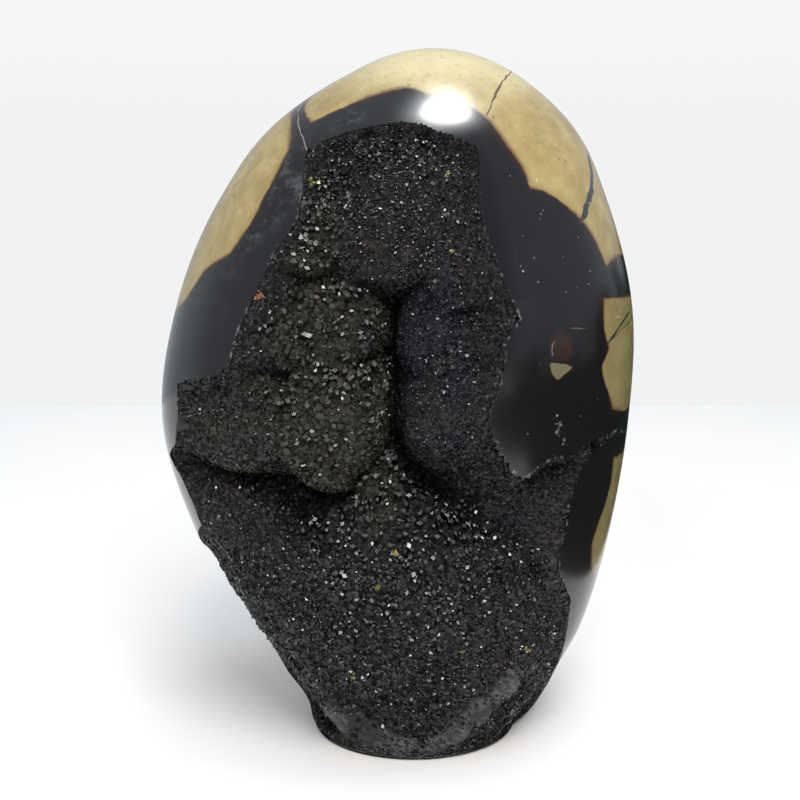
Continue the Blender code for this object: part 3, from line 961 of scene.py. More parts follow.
def crust_net():
    """The crust's open sheet on the flat map, trimmed to the rim."""
    net = whole_map_net(CRUST_CELL)
    bearing, _, height = map_places(net.verts)
    reach = outline_distance(bearing, height, RIM)
    inside = {vert for vert, far in zip(net.verts, reach) if far > CRUST_INSET}
    outer = [face for face in net.faces if not all(vert in inside for vert in face.verts)]
    bmesh.ops.delete(net, geom=outer, context="FACES")
    border = [vert for vert in net.verts if vert.is_boundary]
    for vert in border:
        vert.co = nearest_on_rim(vert.co)
    return net


def nearest_on_rim(place):
    """The nearest point of the rim on the flat map."""
    spot = np.array([place.x, place.z]) / MM
    best = None
    for start, end in chains(RIM, True):
        run = end - start
        along = np.clip((spot - start) @ run / (run @ run), 0, 1)
        point = start + along * run
        far = np.linalg.norm(spot - point)
        if best is None or far < best[0]:
            best = (far, point)
    return Vector((best[1][0], 0, best[1][1])) * MM


def crust_sheet():
    """The crust's wrapped sheet, with the fields that its crystals and their colour read."""
    net = crust_net()
    bearing, _, height = map_places(net.verts)
    depth, size, warmth, flash = hollow_form(bearing, height)
    ground = ground_share(bearing, height)
    open_depth = np.maximum(depth - knobs(bearing, height) + 1.6, 0.5)
    edge = outline_distance(bearing, height, RIM)
    open_depth = np.minimum(open_depth, 0.5 + 2.5 * np.maximum(edge, 0))
    set_depths(net.verts, open_depth * (1 - ground) + GROUND_DEPTH * ground)
    wrap_shape(net)
    mesh = finished_mesh(net, "crust")
    give_values(mesh, "grain", size)
    give_values(mesh, "warmth", warmth)
    give_values(mesh, "flash", flash)
    give_values(mesh, "level", ground)
    give_values(mesh, "room", np.clip(1.5 - 2.0 * ground, 0.1, 1))
    return mesh


def rooted(shape, name, height):
    """Make a crystal one unit wide and give its height above the root, closed and in triangles."""
    bmesh.ops.triangulate(shape, faces=shape.faces[:])
    bmesh.ops.recalc_face_normals(shape, faces=shape.faces[:])
    across = max(vert.co.xy.length for vert in shape.verts) * 2
    top = max(vert.co.z for vert in shape.verts)
    bmesh.ops.scale(shape, vec=(1 / across, 1 / across, height / top), verts=shape.verts)
    tip = shape.verts.layers.float.new("tip")
    for vert in shape.verts:
        vert[tip] = min(max(vert.co.z / height, 0.0), 1.0)
    return finished_mesh(shape, name)


def rhomb_shape(name, height, flatten, tip):
    """A rhomb that stands on its corner, blunt at the root, with its tip moved aside."""
    shape = bmesh.new()
    bmesh.ops.create_cube(shape, size=1.0)
    stand = Vector((1, 1, 1)).rotation_difference(Vector((0, 0, 1)))
    bmesh.ops.rotate(shape, verts=shape.verts, cent=(0, 0, 0), matrix=stand.to_matrix())
    lowest, next_lowest = sorted(shape.verts, key=lambda vert: vert.co.z)[:2]
    lowest.co.z = next_lowest.co.z - 0.05
    highest = max(shape.verts, key=lambda vert: vert.co.z)
    highest.co.x += tip
    bmesh.ops.scale(shape, vec=(1.0, flatten, 1.0), verts=shape.verts)
    return rooted(shape, name, height)


def spear_shape(name, sides, height, flatten, tip):
    """A spear-headed crystal with a few flat sides, its root a little under the middle."""
    shape = bmesh.new()
    bmesh.ops.create_cone(shape, cap_ends=True, segments=sides, radius1=1.0, radius2=0.0, depth=1.0)
    highest = max(shape.verts, key=lambda vert: vert.co.z)
    highest.co.x += tip
    bmesh.ops.translate(shape, vec=(0, 0, 0.25), verts=shape.verts)
    bmesh.ops.scale(shape, vec=(1.0, flatten, 1.0), verts=shape.verts)
    return rooted(shape, name, height)


def nail_head_shape(name, height):
    """A crystal that ends in a flat, slightly long facet."""
    shape = bmesh.new()
    bmesh.ops.create_cone(shape, cap_ends=True, segments=4, radius1=1.0, radius2=0.62, depth=1.0)
    bmesh.ops.scale(shape, vec=(1.0, 0.7, 1.0), verts=shape.verts)
    bmesh.ops.translate(shape, vec=(0, 0, 0.2), verts=shape.verts)
    return rooted(shape, name, height)


def crystal_kinds():
    """The few crystal shapes that the hollow repeats, in a collection of their own."""
    kinds = bpy.data.collections.new("Crystal kinds")
    bpy.context.scene.collection.children.link(kinds)
    meshes = (
        rhomb_shape("rhomb", 0.9, 1.0, 0.0),
        rhomb_shape("leaning rhomb", 1.0, 0.8, 0.15),
        rhomb_shape("steep rhomb", 1.35, 0.85, -0.1),
        spear_shape("short spear", 4, 1.0, 0.7, 0.2),
        spear_shape("long spear", 5, 1.5, 0.8, 0.0),
        spear_shape("scale", 3, 0.8, 1.0, 0.35),
        nail_head_shape("z nail head", 1.0),
    )
    for mesh in meshes:
        kinds.objects.link(bpy.data.objects.new(mesh.name, mesh))
    return kinds


class Tree:
    """Short ways to add and join nodes in a node tree."""

    def __init__(self, tree):
        self.tree = tree

    def add(self, kind, settings=(), **sockets):
        """Add a node. A socket's name has underscores for spaces; a tuple (node, output) links."""
        made = self.tree.nodes.new(kind)
        for name, value in dict(settings).items():
            setattr(made, name, value)
        for name, value in sockets.items():
            self.put(made.inputs[name.replace("_", " ")], value)
        return made

    def put(self, socket, value):
        if isinstance(value, bpy.types.NodeSocket):
            self.tree.links.new(value, socket)
        else:
            socket.default_value = value

    def math(self, operation, *terms, clamp=False):
        made = self.add("ShaderNodeMath", {"operation": operation, "use_clamp": clamp})
        for socket, term in zip(made.inputs, terms):
            self.put(socket, term)
        return made.outputs[0]

    def vector(self, operation, *terms):
        made = self.add("ShaderNodeVectorMath", {"operation": operation})
        for socket, term in zip(made.inputs, terms):
            self.put(socket, term)
        return made.outputs[0]

    def scaled(self, vector, factor):
        made = self.add("ShaderNodeVectorMath", {"operation": "SCALE"}, Vector=vector, Scale=factor)
        return made.outputs[0]

    def step(self, value, low, high, to_low=0.0, to_high=1.0):
        """A smooth step from one value to another."""
        made = self.add(
            "ShaderNodeMapRange", {"interpolation_type": "SMOOTHSTEP"},
            Value=value, From_Min=low, From_Max=high, To_Min=to_low, To_Max=to_high)
        return made.outputs[0]

    def noise(self, vector, scale, detail=3.0, roughness=0.55, output="Factor"):
        made = self.add(
            "ShaderNodeTexNoise", {}, Vector=vector, Scale=scale, Detail=detail,
            Roughness=roughness)
        return made.outputs["Fac" if output == "Factor" else "Color"]

    def blend(self, share, low, high, mode="MIX"):
        made = self.add("ShaderNodeMix", {"data_type": "RGBA", "blend_type": mode})
        self.put(made.inputs[0], share)
        self.put(made.inputs[6], low)
        self.put(made.inputs[7], high)
        return made.outputs[2]

    def value_of(self, name):
        return self.add("ShaderNodeAttribute", {"attribute_name": name}).outputs["Fac"]


def scatter_group(kinds, spacing, width, length, seed):
    """Geometry nodes that grow crystals all over a sheet and make them real."""
    group = bpy.data.node_groups.new("Grow crystals", "GeometryNodeTree")
    group.interface.new_socket("Geometry", in_out="INPUT", socket_type="NodeSocketGeometry")
    group.interface.new_socket("Geometry", in_out="OUTPUT", socket_type="NodeSocketGeometry")
    tree = Tree(group)
    sheet = tree.add("NodeGroupInput").outputs[0]

    def stored(name):
        made = tree.add("GeometryNodeInputNamedAttribute", {"data_type": "FLOAT"}, Name=name)
        return made.outputs["Attribute"]

    spread = tree.add(
        "GeometryNodeDistributePointsOnFaces", {"distribute_method": "POISSON"}, Mesh=sheet,
        Distance_Min=spacing, Density_Max=3.0 / spacing ** 2,
        Density_Factor=stored("room"), Seed=seed)
    place = tree.add("GeometryNodeInputPosition").outputs[0]

    def chance(low, high, salt):
        made = tree.add("FunctionNodeRandomValue", {"data_type": "FLOAT"}, Seed=seed + salt)
        made.inputs[2].default_value = low
        made.inputs[3].default_value = high
        return made.outputs[1]

    def drift(scale, strength):
        wave = tree.noise(place, scale, detail=1.0, output="Color")
        return tree.scaled(tree.vector("SUBTRACT", wave, (0.5, 0.5, 0.5)), strength)

    jitter = tree.add("FunctionNodeRandomValue", {"data_type": "FLOAT_VECTOR"}, Seed=seed + 5)
    jitter.inputs[0].default_value = (-0.85, -0.85, -0.85)
    jitter.inputs[1].default_value = (0.85, 0.85, 0.85)
    lean = tree.vector("ADD", spread.outputs["Normal"], drift(75.0, 2.4))
    lean = tree.vector("ADD", lean, drift(320.0, 1.1))
    lean = tree.vector("ADD", lean, jitter.outputs[0])
    flashing = tree.math("LESS_THAN", chance(0.0, 1.0, 23), stored("flash"))
    level = tree.add("ShaderNodeSeparateXYZ", {}, Vector=place).outputs["Z"]
    toward = tree.vector("ADD", FLASH_WAY, tree.scaled(FLASH_TURN, level))
    toward = tree.vector("ADD", toward, tree.scaled(jitter.outputs[0], FLASH_SPREAD))
    outward = tree.add("ShaderNodeSeparateXYZ", {}, Vector=spread.outputs["Normal"]).outputs["Z"]
    under = tree.step(outward, -0.38, -0.62)
    hanging = tree.math("LESS_THAN", chance(0.0, 1.0, 29), tree.math("MULTIPLY", under, HANGING_SHARE))
    aim = tree.add("ShaderNodeMix", {"data_type": "VECTOR"})
    tree.put(aim.inputs[0], flashing)
    tree.put(aim.inputs[4], lean)
    tree.put(aim.inputs[5], toward)
    upright = tree.add("FunctionNodeAlignRotationToVector", {"axis": "Z"}, Vector=aim.outputs[1])
    swirl = tree.math("MULTIPLY", tree.noise(place, 60.0, detail=1.0), 14.0)
    turn = tree.math("ADD", swirl, chance(-0.5, 0.5, 9))
    spin = tree.add("FunctionNodeAxisAngleToRotation", {}, Axis=(0, 0, 1), Angle=turn)
    turned = tree.add(
        "FunctionNodeRotateRotation", {"rotation_space": "LOCAL"},
        Rotation=upright.outputs[0], Rotate_By=spin.outputs[0])
    size = tree.math("MULTIPLY", stored("grain"), chance(0.68, 1.3, 1))
    size = tree.math("MULTIPLY", size, tree.math("ADD", 1.0, tree.math("MULTIPLY", flashing, FLASH_SIZE - 1)))
    wide = tree.math("MULTIPLY", size, width)
    long = tree.math("MULTIPLY", tree.math("MULTIPLY", size, length), chance(0.7, 1.25, 3))
    long = tree.math("MULTIPLY", long, tree.math("ADD", 1.0, tree.math("MULTIPLY", under, HANGING_LENGTH)))
    scale = tree.add("ShaderNodeCombineXYZ", {}, X=wide, Y=wide, Z=long)
    stock = tree.add(
        "GeometryNodeCollectionInfo", {}, Collection=kinds, Separate_Children=True,
        Reset_Children=True)
    pick = tree.add("FunctionNodeRandomValue", {"data_type": "INT"}, Seed=seed + 11)
    pick.inputs[4].default_value = 0
    pick.inputs[5].default_value = len(kinds.objects) - 2
    flat_one = tree.math("MULTIPLY", flashing, float(len(kinds.objects) - 1))
    unhung = tree.math("MULTIPLY", pick.outputs[2], tree.math("SUBTRACT", 1.0, hanging))
    choice = tree.math("MAXIMUM", tree.math("ADD", unhung, hanging), flat_one)
    grown = tree.add(
        "GeometryNodeInstanceOnPoints", {}, Points=spread.outputs["Points"],
        Instance=stock.outputs[0], Pick_Instance=True, Instance_Index=choice,
        Rotation=turned.outputs[0], Scale=scale.outputs[0])
    toned = tree.add(
        "GeometryNodeStoreNamedAttribute", {"data_type": "FLOAT", "domain": "INSTANCE"},
        Geometry=grown.outputs[0], Name="tone", Value=chance(0.0, 1.0, 17))
    real = tree.add("GeometryNodeRealizeInstances", {}, Geometry=toned.outputs[0])
    tree.add("NodeGroupOutput", {}, Geometry=real.outputs[0])
    return group


def part_of_sheet(sheet_mesh, zone, grains, seed):
    """The faces of the crust that lie in one zone and carry crystals of one class of size."""
    (left, bottom), (right, top) = zone
    part = bmesh.new()
    part.from_mesh(sheet_mesh)
    grain = part.verts.layers.float["grain"]
    middles = np.array([face.calc_center_median()[:] for face in part.faces])
    sizes = np.array([face.verts[0][grain] for face in part.faces])
    sizes += np.random.default_rng(seed).normal(0, 0.06, len(sizes))
    bearing, _, height = places_of(middles)
    here = (bearing >= left) & (bearing < right) & (height >= bottom) & (height < top)
    here &= (sizes >= grains[0]) & (sizes < grains[1])
    others = [face for face, stays in zip(part.faces, here) if not stays]
    bmesh.ops.delete(part, geom=others, context="FACES")
    return finished_mesh(part, "emitter")


def grow_crystals(sheet_mesh, zone, kinds, settings, seed):
    """Real crystals on the part of the crust that lies in one zone."""
    grown = bmesh.new()
    layers = ((settings.crystal_spacing, 1.0), (settings.filler_spacing, settings.filler_share))
    for low, high, room in GRAIN_CLASSES:
        emitter_mesh = part_of_sheet(sheet_mesh, zone, (low, high), seed)
        for spacing, share in layers:
            seed += 1
            emitter = new_object("emitter", emitter_mesh.copy())
            growth = emitter.modifiers.new("Crystals", "NODES")
            group = scatter_group(
                kinds, spacing * room, settings.crystal_width * share,
                settings.crystal_height * share, seed * 20)
            growth.node_group = group
            layer = evaluated_mesh(emitter)
            grown.from_mesh(layer)
            bpy.data.meshes.remove(layer)
            drop_object(emitter)
            bpy.data.node_groups.remove(group)
        bpy.data.meshes.remove(emitter_mesh)
    return finished_mesh(grown, "crystals")


def mark_crystals(mesh):
    """Tell the few yellow crystals from the rest, whole crystal by whole crystal."""
    points = vertex_points(mesh)
    tone = np.empty(len(points), dtype=np.float32)
    mesh.attributes["tone"].data.foreach_get("value", tone)
    crystal = np.concatenate([[0], np.cumsum(np.diff(tone) != 0)])
    count = np.bincount(crystal)
    middles = np.stack([np.bincount(crystal, points[:, axis]) / count for axis in range(3)], axis=-1)
    bearing, _, height = places_of(middles)
    yellow = np.zeros(len(middles))
    for at_bearing, at_height, reach in YELLOW_SPECKS:
        across = np.radians(1) * skin_radius(np.array([at_bearing]), np.array([at_height]))
        away = np.hypot((bearing - at_bearing) * across, height - at_height)
        yellow = np.maximum(yellow, away < reach)
    give_values(mesh, "yellow", yellow[crystal])


def grind_to_skin(mesh):
    """Grind off what stands out of the polished skin or under the foot."""
    points = vertex_points(mesh)
    points[:, 2] = np.maximum(points[:, 2], FOOT_CLEARANCE * MM)
    bearing, depth, height = places_of(points)
    give_values(mesh, "ground", np.clip((SKIN_CLEARANCE - depth) / 0.3, 0, 1))
    depth = np.maximum(depth, SKIN_CLEARANCE)
    set_vertex_points(mesh, wrap(bearing, depth, height))


def effect_group(name, inputs, outputs):
    """An empty shader group with its sockets."""
    group = bpy.data.node_groups.new(name, "ShaderNodeTree")
    for label, kind, value in inputs:
        socket = group.interface.new_socket(label, in_out="INPUT", socket_type=kind)
        if value is not None:
            socket.default_value = value
    for label, kind in outputs:
        group.interface.new_socket(label, in_out="OUTPUT", socket_type=kind)
    tree = Tree(group)
    return tree, tree.add("NodeGroupInput").outputs


def specks_group():
    """Scattered specks: a mask of small grains that gather in loose clusters."""
    tree, given = effect_group(
        "Specks",
        (("Vector", "NodeSocketVector", None), ("Spacing", "NodeSocketFloat", 400.0),
         ("Size", "NodeSocketFloat", 0.2), ("Share", "NodeSocketFloat", 0.1),
         ("Gathering", "NodeSocketFloat", 60.0)),
        (("Mask", "NodeSocketFloat"),))
    cells = tree.add(
        "ShaderNodeTexVoronoi", {"feature": "F1"}, Vector=given["Vector"],
        Scale=given["Spacing"])
    lot = tree.add("ShaderNodeSeparateColor", {}, Color=cells.outputs["Color"])
    cloud = tree.noise(given["Vector"], given["Gathering"], detail=2.0)
    odds = tree.math("MULTIPLY", given["Share"], tree.step(cloud, 0.42, 0.68, 0.1, 2.2))
    chosen = tree.math("LESS_THAN", lot.outputs[0], odds)
    reach = tree.math("MULTIPLY", given["Size"], tree.math("ADD", lot.outputs[1], 0.35))
    near = tree.math("SUBTRACT", reach, cells.outputs["Distance"])
    grain = tree.step(near, 0.0, 0.05)
    tree.add("NodeGroupOutput", {}, Mask=tree.math("MULTIPLY", chosen, grain))
    return tree.tree


def streak_group():
    """A line along a vein: a mask from the side and half-width fields, with an uneven edge."""
    tree, given = effect_group(
        "Vein line",
        (("Vector", "NodeSocketVector", None), ("Side", "NodeSocketFloat", 0.0),
         ("Half", "NodeSocketFloat", 0.0), ("Waver", "NodeSocketFloat", 0.2),
         ("Softness", "NodeSocketFloat", 0.08)),
        (("Mask", "NodeSocketFloat"),))
    sway = tree.math("SUBTRACT", tree.noise(given["Vector"], 420.0, detail=3.0), 0.5)
    moved = tree.math("ADD", given["Side"], tree.math("MULTIPLY", sway, given["Waver"]))
    swell = tree.step(tree.noise(given["Vector"], 190.0, detail=2.0), 0.3, 0.7, 0.6, 1.35)
    inside = tree.math(
        "SUBTRACT", tree.math("MULTIPLY", given["Half"], swell), tree.math("ABSOLUTE", moved))
    tree.add(
        "NodeGroupOutput", {},
        Mask=tree.step(inside, 0.0, given["Softness"]))
    return tree.tree


def spot_group():
    """A round spot: a mask from a place and a radius."""
    tree, given = effect_group(
        "Spot",
        (("Vector", "NodeSocketVector", None), ("Place", "NodeSocketVector", None),
         ("Radius", "NodeSocketFloat", 0.0002)),
        (("Mask", "NodeSocketFloat"),))
    away = tree.add("ShaderNodeVectorMath", {"operation": "DISTANCE"})
    tree.put(away.inputs[0], given["Vector"])
    tree.put(away.inputs[1], given["Place"])
    share = tree.math("DIVIDE", away.outputs["Value"], given["Radius"])
    tree.add("NodeGroupOutput", {}, Mask=tree.step(share, 0.5, 1.1, 1.0, 0.0))
    return tree.tree


def new_material(name):
    material = bpy.data.materials.new(name)
    material.use_nodes = True
    tree = Tree(material.node_tree)
    shader = material.node_tree.nodes["Principled BSDF"]
    place = tree.add("ShaderNodeTexCoord").outputs["Object"]
    return material, tree, shader, place


def shade(colour, factor):
    return tuple(channel * factor for channel in colour[:3]) + (1.0,)


def polish_material(settings):
    """Polished stone: cream mudstone, dark calcite, rusty fringes, veins, cracks and specks."""
    material, tree, shader, place = new_material("polished stone")
    specks = specks_group()
    line = streak_group()

    # Mudstone: clouds, fine grain, pale and dark dust, with painted shade low on the right side and a painted sheen
    # on the top
    clouds = tree.noise(place, 42.0, detail=5.0, roughness=0.62)
    grain = tree.noise(place, 620.0, detail=4.0, roughness=0.7)
    blotches = tree.noise(place, 170.0, detail=4.0, roughness=0.6)
    cream = tree.blend(
        tree.step(clouds, 0.30, 0.72), list(settings.deep_mudstone), list(settings.mudstone))
    cream = tree.blend(
        tree.math("MULTIPLY", tree.step(blotches, 0.38, 0.82), 0.6), cream,
        list(settings.pale_mudstone))
    spot = tree.add("ShaderNodeSeparateXYZ", {}, Vector=place)
    # Painted shade: the mudstone is darkened on the right side below about 120 to 150 mm, standing in for light
    # that is blocked there
    painted_right_shade = tree.math(
        "MULTIPLY", tree.step(spot.outputs["X"], 0.036, 0.058), tree.step(spot.outputs["Z"], 0.150, 0.118))
    cream = tree.blend(tree.math("MULTIPLY", painted_right_shade, 0.62), cream, (0.150, 0.130, 0.060, 1.0))
    # Painted sheen: the top of the egg is made paler where the polish mirrors the ceiling's glow
    painted_top_sheen = tree.math(
        "MULTIPLY", tree.step(spot.outputs["Z"], 0.172, 0.186), tree.step(spot.outputs["X"], -0.024, 0.002))
    cream = tree.blend(tree.math("MULTIPLY", painted_top_sheen, 0.7), cream, (0.68, 0.60, 0.36, 1.0))
    cream = tree.blend(
        tree.math("MULTIPLY", tree.step(grain, 0.50, 0.78), 0.45), cream,
        shade(settings.deep_mudstone, 0.72))

    # Dark calcite: nearly black, with grey feathers
    feathers = tree.noise(place, 130.0, detail=6.0, roughness=0.75)
    veil = tree.noise(place, 30.0, detail=2.0)
    frosted = tree.math("MAXIMUM", tree.math("MULTIPLY", tree.step(veil, 0.55, 0.75), 0.15), tree.value_of("frost"))
    dark = tree.blend(
        tree.math("MULTIPLY", tree.step(feathers, 0.46, 0.72), frosted),
        list(settings.calcite), (0.115, 0.120, 0.122, 1.0))

    # Where one meets the other
    field = tree.value_of("dark")
    ragged = tree.math("MULTIPLY", tree.math("SUBTRACT", tree.noise(place, 520.0, detail=4.0), 0.5), 0.55)
    slow = tree.math("MULTIPLY", tree.math("SUBTRACT", tree.noise(place, 130.0, detail=2.0), 0.5), 0.9)
    edge = tree.math("ADD", field, tree.math("ADD", ragged, slow))
    calcite_mask = tree.step(edge, -0.10, 0.10)
    fringe_width = tree.step(tree.noise(place, 85.0, detail=3.0), 0.35, 0.70, -0.25, -1.5)
    fringe = tree.step(edge, fringe_width, -0.12)
    stain = tree.step(edge, tree.math("MULTIPLY", fringe_width, 3.0), 0.0)
    spots = spot_group()
    island_place = wrap(*(np.array([value]) for value in ISLAND_PLACE))[0]
    island = tree.add(
        "ShaderNodeGroup", {"node_tree": spots}, Vector=place, Place=island_place.tolist(),
        Radius=ISLAND_REACH * MM).outputs[0]
    cream = tree.blend(tree.math("MULTIPLY", island, 0.85), cream, (0.110, 0.098, 0.066, 1.0))
    stain = tree.math("MULTIPLY", stain, tree.math("SUBTRACT", 1.0, island))
    cream = tree.blend(tree.math("MULTIPLY", stain, 0.35), cream, (0.19, 0.125, 0.050, 1.0))
    away_from_island = tree.math("SUBTRACT", 1.0, island)
    fringe = tree.math("MULTIPLY", fringe, away_from_island)
    cream = tree.blend(tree.math("MULTIPLY", fringe, 0.75), cream, list(settings.rust))
    reddened = tree.step(edge, tree.math("MULTIPLY", fringe_width, -1.3), 0.1)
    reddened = tree.math("MULTIPLY", reddened, tree.step(away_from_island, 0.0, 1.0, 0.35, 1.0))
    dark = tree.blend(tree.math("MULTIPLY", reddened, 0.75), dark, shade(settings.rust, 0.42))

    # Cracks in the mudstone
    crack = tree.add(
        "ShaderNodeGroup", {"node_tree": line}, Vector=place, Side=tree.value_of("crack_side"),
        Half=tree.value_of("crack_half"), Waver=0.5, Softness=0.12).outputs[0]
    hair_cells = tree.add(
        "ShaderNodeTexVoronoi", {"feature": "DISTANCE_TO_EDGE"},
        Vector=tree.vector("ADD", place, tree.scaled(tree.noise(place, 70.0, output="Color"), 0.012)),
        Scale=34.0)
    hair = tree.step(hair_cells.outputs["Distance"], 0.0016, 0.0042, 1.0, 0.0)
    hair = tree.math("MULTIPLY", hair, tree.step(tree.noise(place, 24.0, detail=2.0), 0.52, 0.60))
    cream = tree.blend(tree.math("MULTIPLY", hair, 0.7), cream, (0.20, 0.11, 0.05, 1.0))
    cream = tree.blend(tree.math("MULTIPLY", crack, 0.92), cream, (0.070, 0.036, 0.022, 1.0))

    colour = tree.blend(calcite_mask, cream, dark)
    vein = tree.add(
        "ShaderNodeGroup", {"node_tree": line}, Vector=place, Side=tree.value_of("vein_side"),
        Half=tree.value_of("vein_half"), Waver=0.25, Softness=0.15).outputs[0]
    colour = tree.blend(vein, colour, (0.030, 0.032, 0.038, 1.0))

    # Rust in the calcite, pale threads and crumbs
    rusty = tree.step(
        tree.math("ADD", tree.value_of("rusty"), tree.math("MULTIPLY", slow, 2.0)), -0.2, 2.2)
    rusty = tree.math("MULTIPLY", rusty, calcite_mask)
    colour = tree.blend(tree.math("MULTIPLY", rusty, 0.8), colour, (0.034, 0.014, 0.011, 1.0))
    thread = tree.add(
        "ShaderNodeGroup", {"node_tree": line}, Vector=place, Side=tree.value_of("thread_side"),
        Half=tree.value_of("thread_half"), Waver=0.9, Softness=0.10).outputs[0]
    colour = tree.blend(tree.math("MULTIPLY", thread, 0.6), colour, (0.36, 0.33, 0.28, 1.0))
    crumb_seam = tree.add(
        "ShaderNodeGroup", {"node_tree": line}, Vector=place, Side=tree.value_of("crumbs_side"),
        Half=tree.value_of("crumbs_half"), Waver=1.2, Softness=0.5).outputs[0]
    crumbs = tree.math("MULTIPLY", crumb_seam, tree.step(tree.noise(place, 900.0, detail=3.0), 0.54, 0.60))
    colour = tree.blend(crumbs, colour, (0.115, 0.115, 0.105, 1.0))

    # The chipped edge of the polish along the hollow
    chips = tree.step(tree.noise(place, 760.0, detail=3.0), 0.50, 0.60)
    chips = tree.math("MULTIPLY", chips, tree.step(tree.noise(place, 80.0, detail=2.0), 0.42, 0.60))
    chips = tree.math("MULTIPLY", chips, tree.step(tree.value_of("rim"), 0.2, 0.9, 1.0, 0.0))
    chips = tree.math("MULTIPLY", chips, tree.step(spot.outputs["Z"], 0.160, 0.140))
    colour = tree.blend(tree.math("MULTIPLY", chips, 0.8), colour, (0.17, 0.17, 0.16, 1.0))

    # White specks in the calcite, dark and pale ones in the mudstone
    white = tree.add(
        "ShaderNodeGroup", {"node_tree": specks}, Vector=place, Spacing=620.0, Size=0.20,
        Share=0.045, Gathering=52.0).outputs[0]
    colour = tree.blend(
        tree.math("MULTIPLY", tree.math("MULTIPLY", white, calcite_mask), 0.75), colour,
        (0.34, 0.34, 0.32, 1.0))
    flecks = 0.0
    moved = tree.vector("ADD", place, tree.scaled(tree.noise(place, 2500.0, output="Color"), 0.0002))
    for bearing, height, radius in FLECKS:
        point = wrap(np.array([bearing]), np.array([0.0]), np.array([height]))[0] + 0.0001
        fleck = tree.add(
            "ShaderNodeGroup", {"node_tree": spots}, Vector=moved, Place=point.tolist(),
            Radius=radius * MM).outputs[0]
        flecks = tree.math("MAXIMUM", flecks, fleck)
    colour = tree.blend(tree.math("MULTIPLY", flecks, 0.8), colour, (0.42, 0.42, 0.40, 1.0))

    # Fine scratches of the polish, in loose bundles
    scratch_way = tree.vector("MULTIPLY", place, (1.0, 1.0, 0.16))
    scratches = tree.add(
        "ShaderNodeGroup", {"node_tree": specks}, Vector=scratch_way, Spacing=900.0, Size=0.16,
        Share=0.07, Gathering=45.0).outputs[0]
    level_way = tree.vector("MULTIPLY", place, (0.16, 0.16, 1.0))
    level_scratches = tree.add(
        "ShaderNodeGroup", {"node_tree": specks}, Vector=level_way, Spacing=900.0, Size=0.16,
        Share=0.05, Gathering=38.0).outputs[0]
    scratches = tree.math("MAXIMUM", scratches, level_scratches)
    on_cream = tree.math("SUBTRACT", 1.0, calcite_mask)
    colour = tree.blend(
        tree.math("MULTIPLY", tree.math("MULTIPLY", scratches, on_cream), 0.55), colour,
        (0.72, 0.66, 0.48, 1.0))
    dust = tree.add(
        "ShaderNodeGroup", {"node_tree": specks}, Vector=place, Spacing=480.0, Size=0.22,
        Share=0.05, Gathering=40.0).outputs[0]
    stone_dust = tree.math("MULTIPLY", dust, tree.math("SUBTRACT", 1.0, calcite_mask))
    colour = tree.blend(tree.math("MULTIPLY", stone_dust, 0.7), colour, (0.17, 0.12, 0.06, 1.0))
    tree.put(shader.inputs["Base Color"], colour)

    smear = tree.noise(place, 55.0, detail=4.0, roughness=0.65)
    stone_gloss = tree.step(smear, 0.3, 0.75, 0.16, 0.28)
    calcite_gloss = tree.step(smear, 0.3, 0.75, 0.14, 0.20)
    gloss = tree.add("ShaderNodeMix", {"data_type": "FLOAT"})
    for socket, value in zip(gloss.inputs[:4], (calcite_mask, None, stone_gloss, calcite_gloss)):
        if value is not None:
            tree.put(socket, value)
    rough = tree.math("ADD", gloss.outputs[0], tree.math("MULTIPLY", crumbs, 0.4))
    tree.put(shader.inputs["Roughness"], rough)
    shader.inputs["IOR"].default_value = 1.58

    # Slow waves of a hand polish, pits at specks and a faint groove at cracks
    waves = tree.noise(place, 36.0, detail=1.0)
    pits = tree.math("MULTIPLY", tree.math("MAXIMUM", stone_dust, crumbs), -0.00012)
    groove = tree.math("MULTIPLY", crack, -0.00010)
    height = tree.math("MULTIPLY", waves, 0.00028)
    height = tree.math("ADD", height, tree.math("ADD", pits, groove))
    height = tree.math("ADD", height, tree.math("MULTIPLY", tree.noise(place, 1500.0, detail=2.0), 0.000004))
    bump = tree.add("ShaderNodeBump", {}, Height=height, Strength=1.0, Distance=1.0)
    tree.put(shader.inputs["Normal"], bump.outputs[0])
    return material


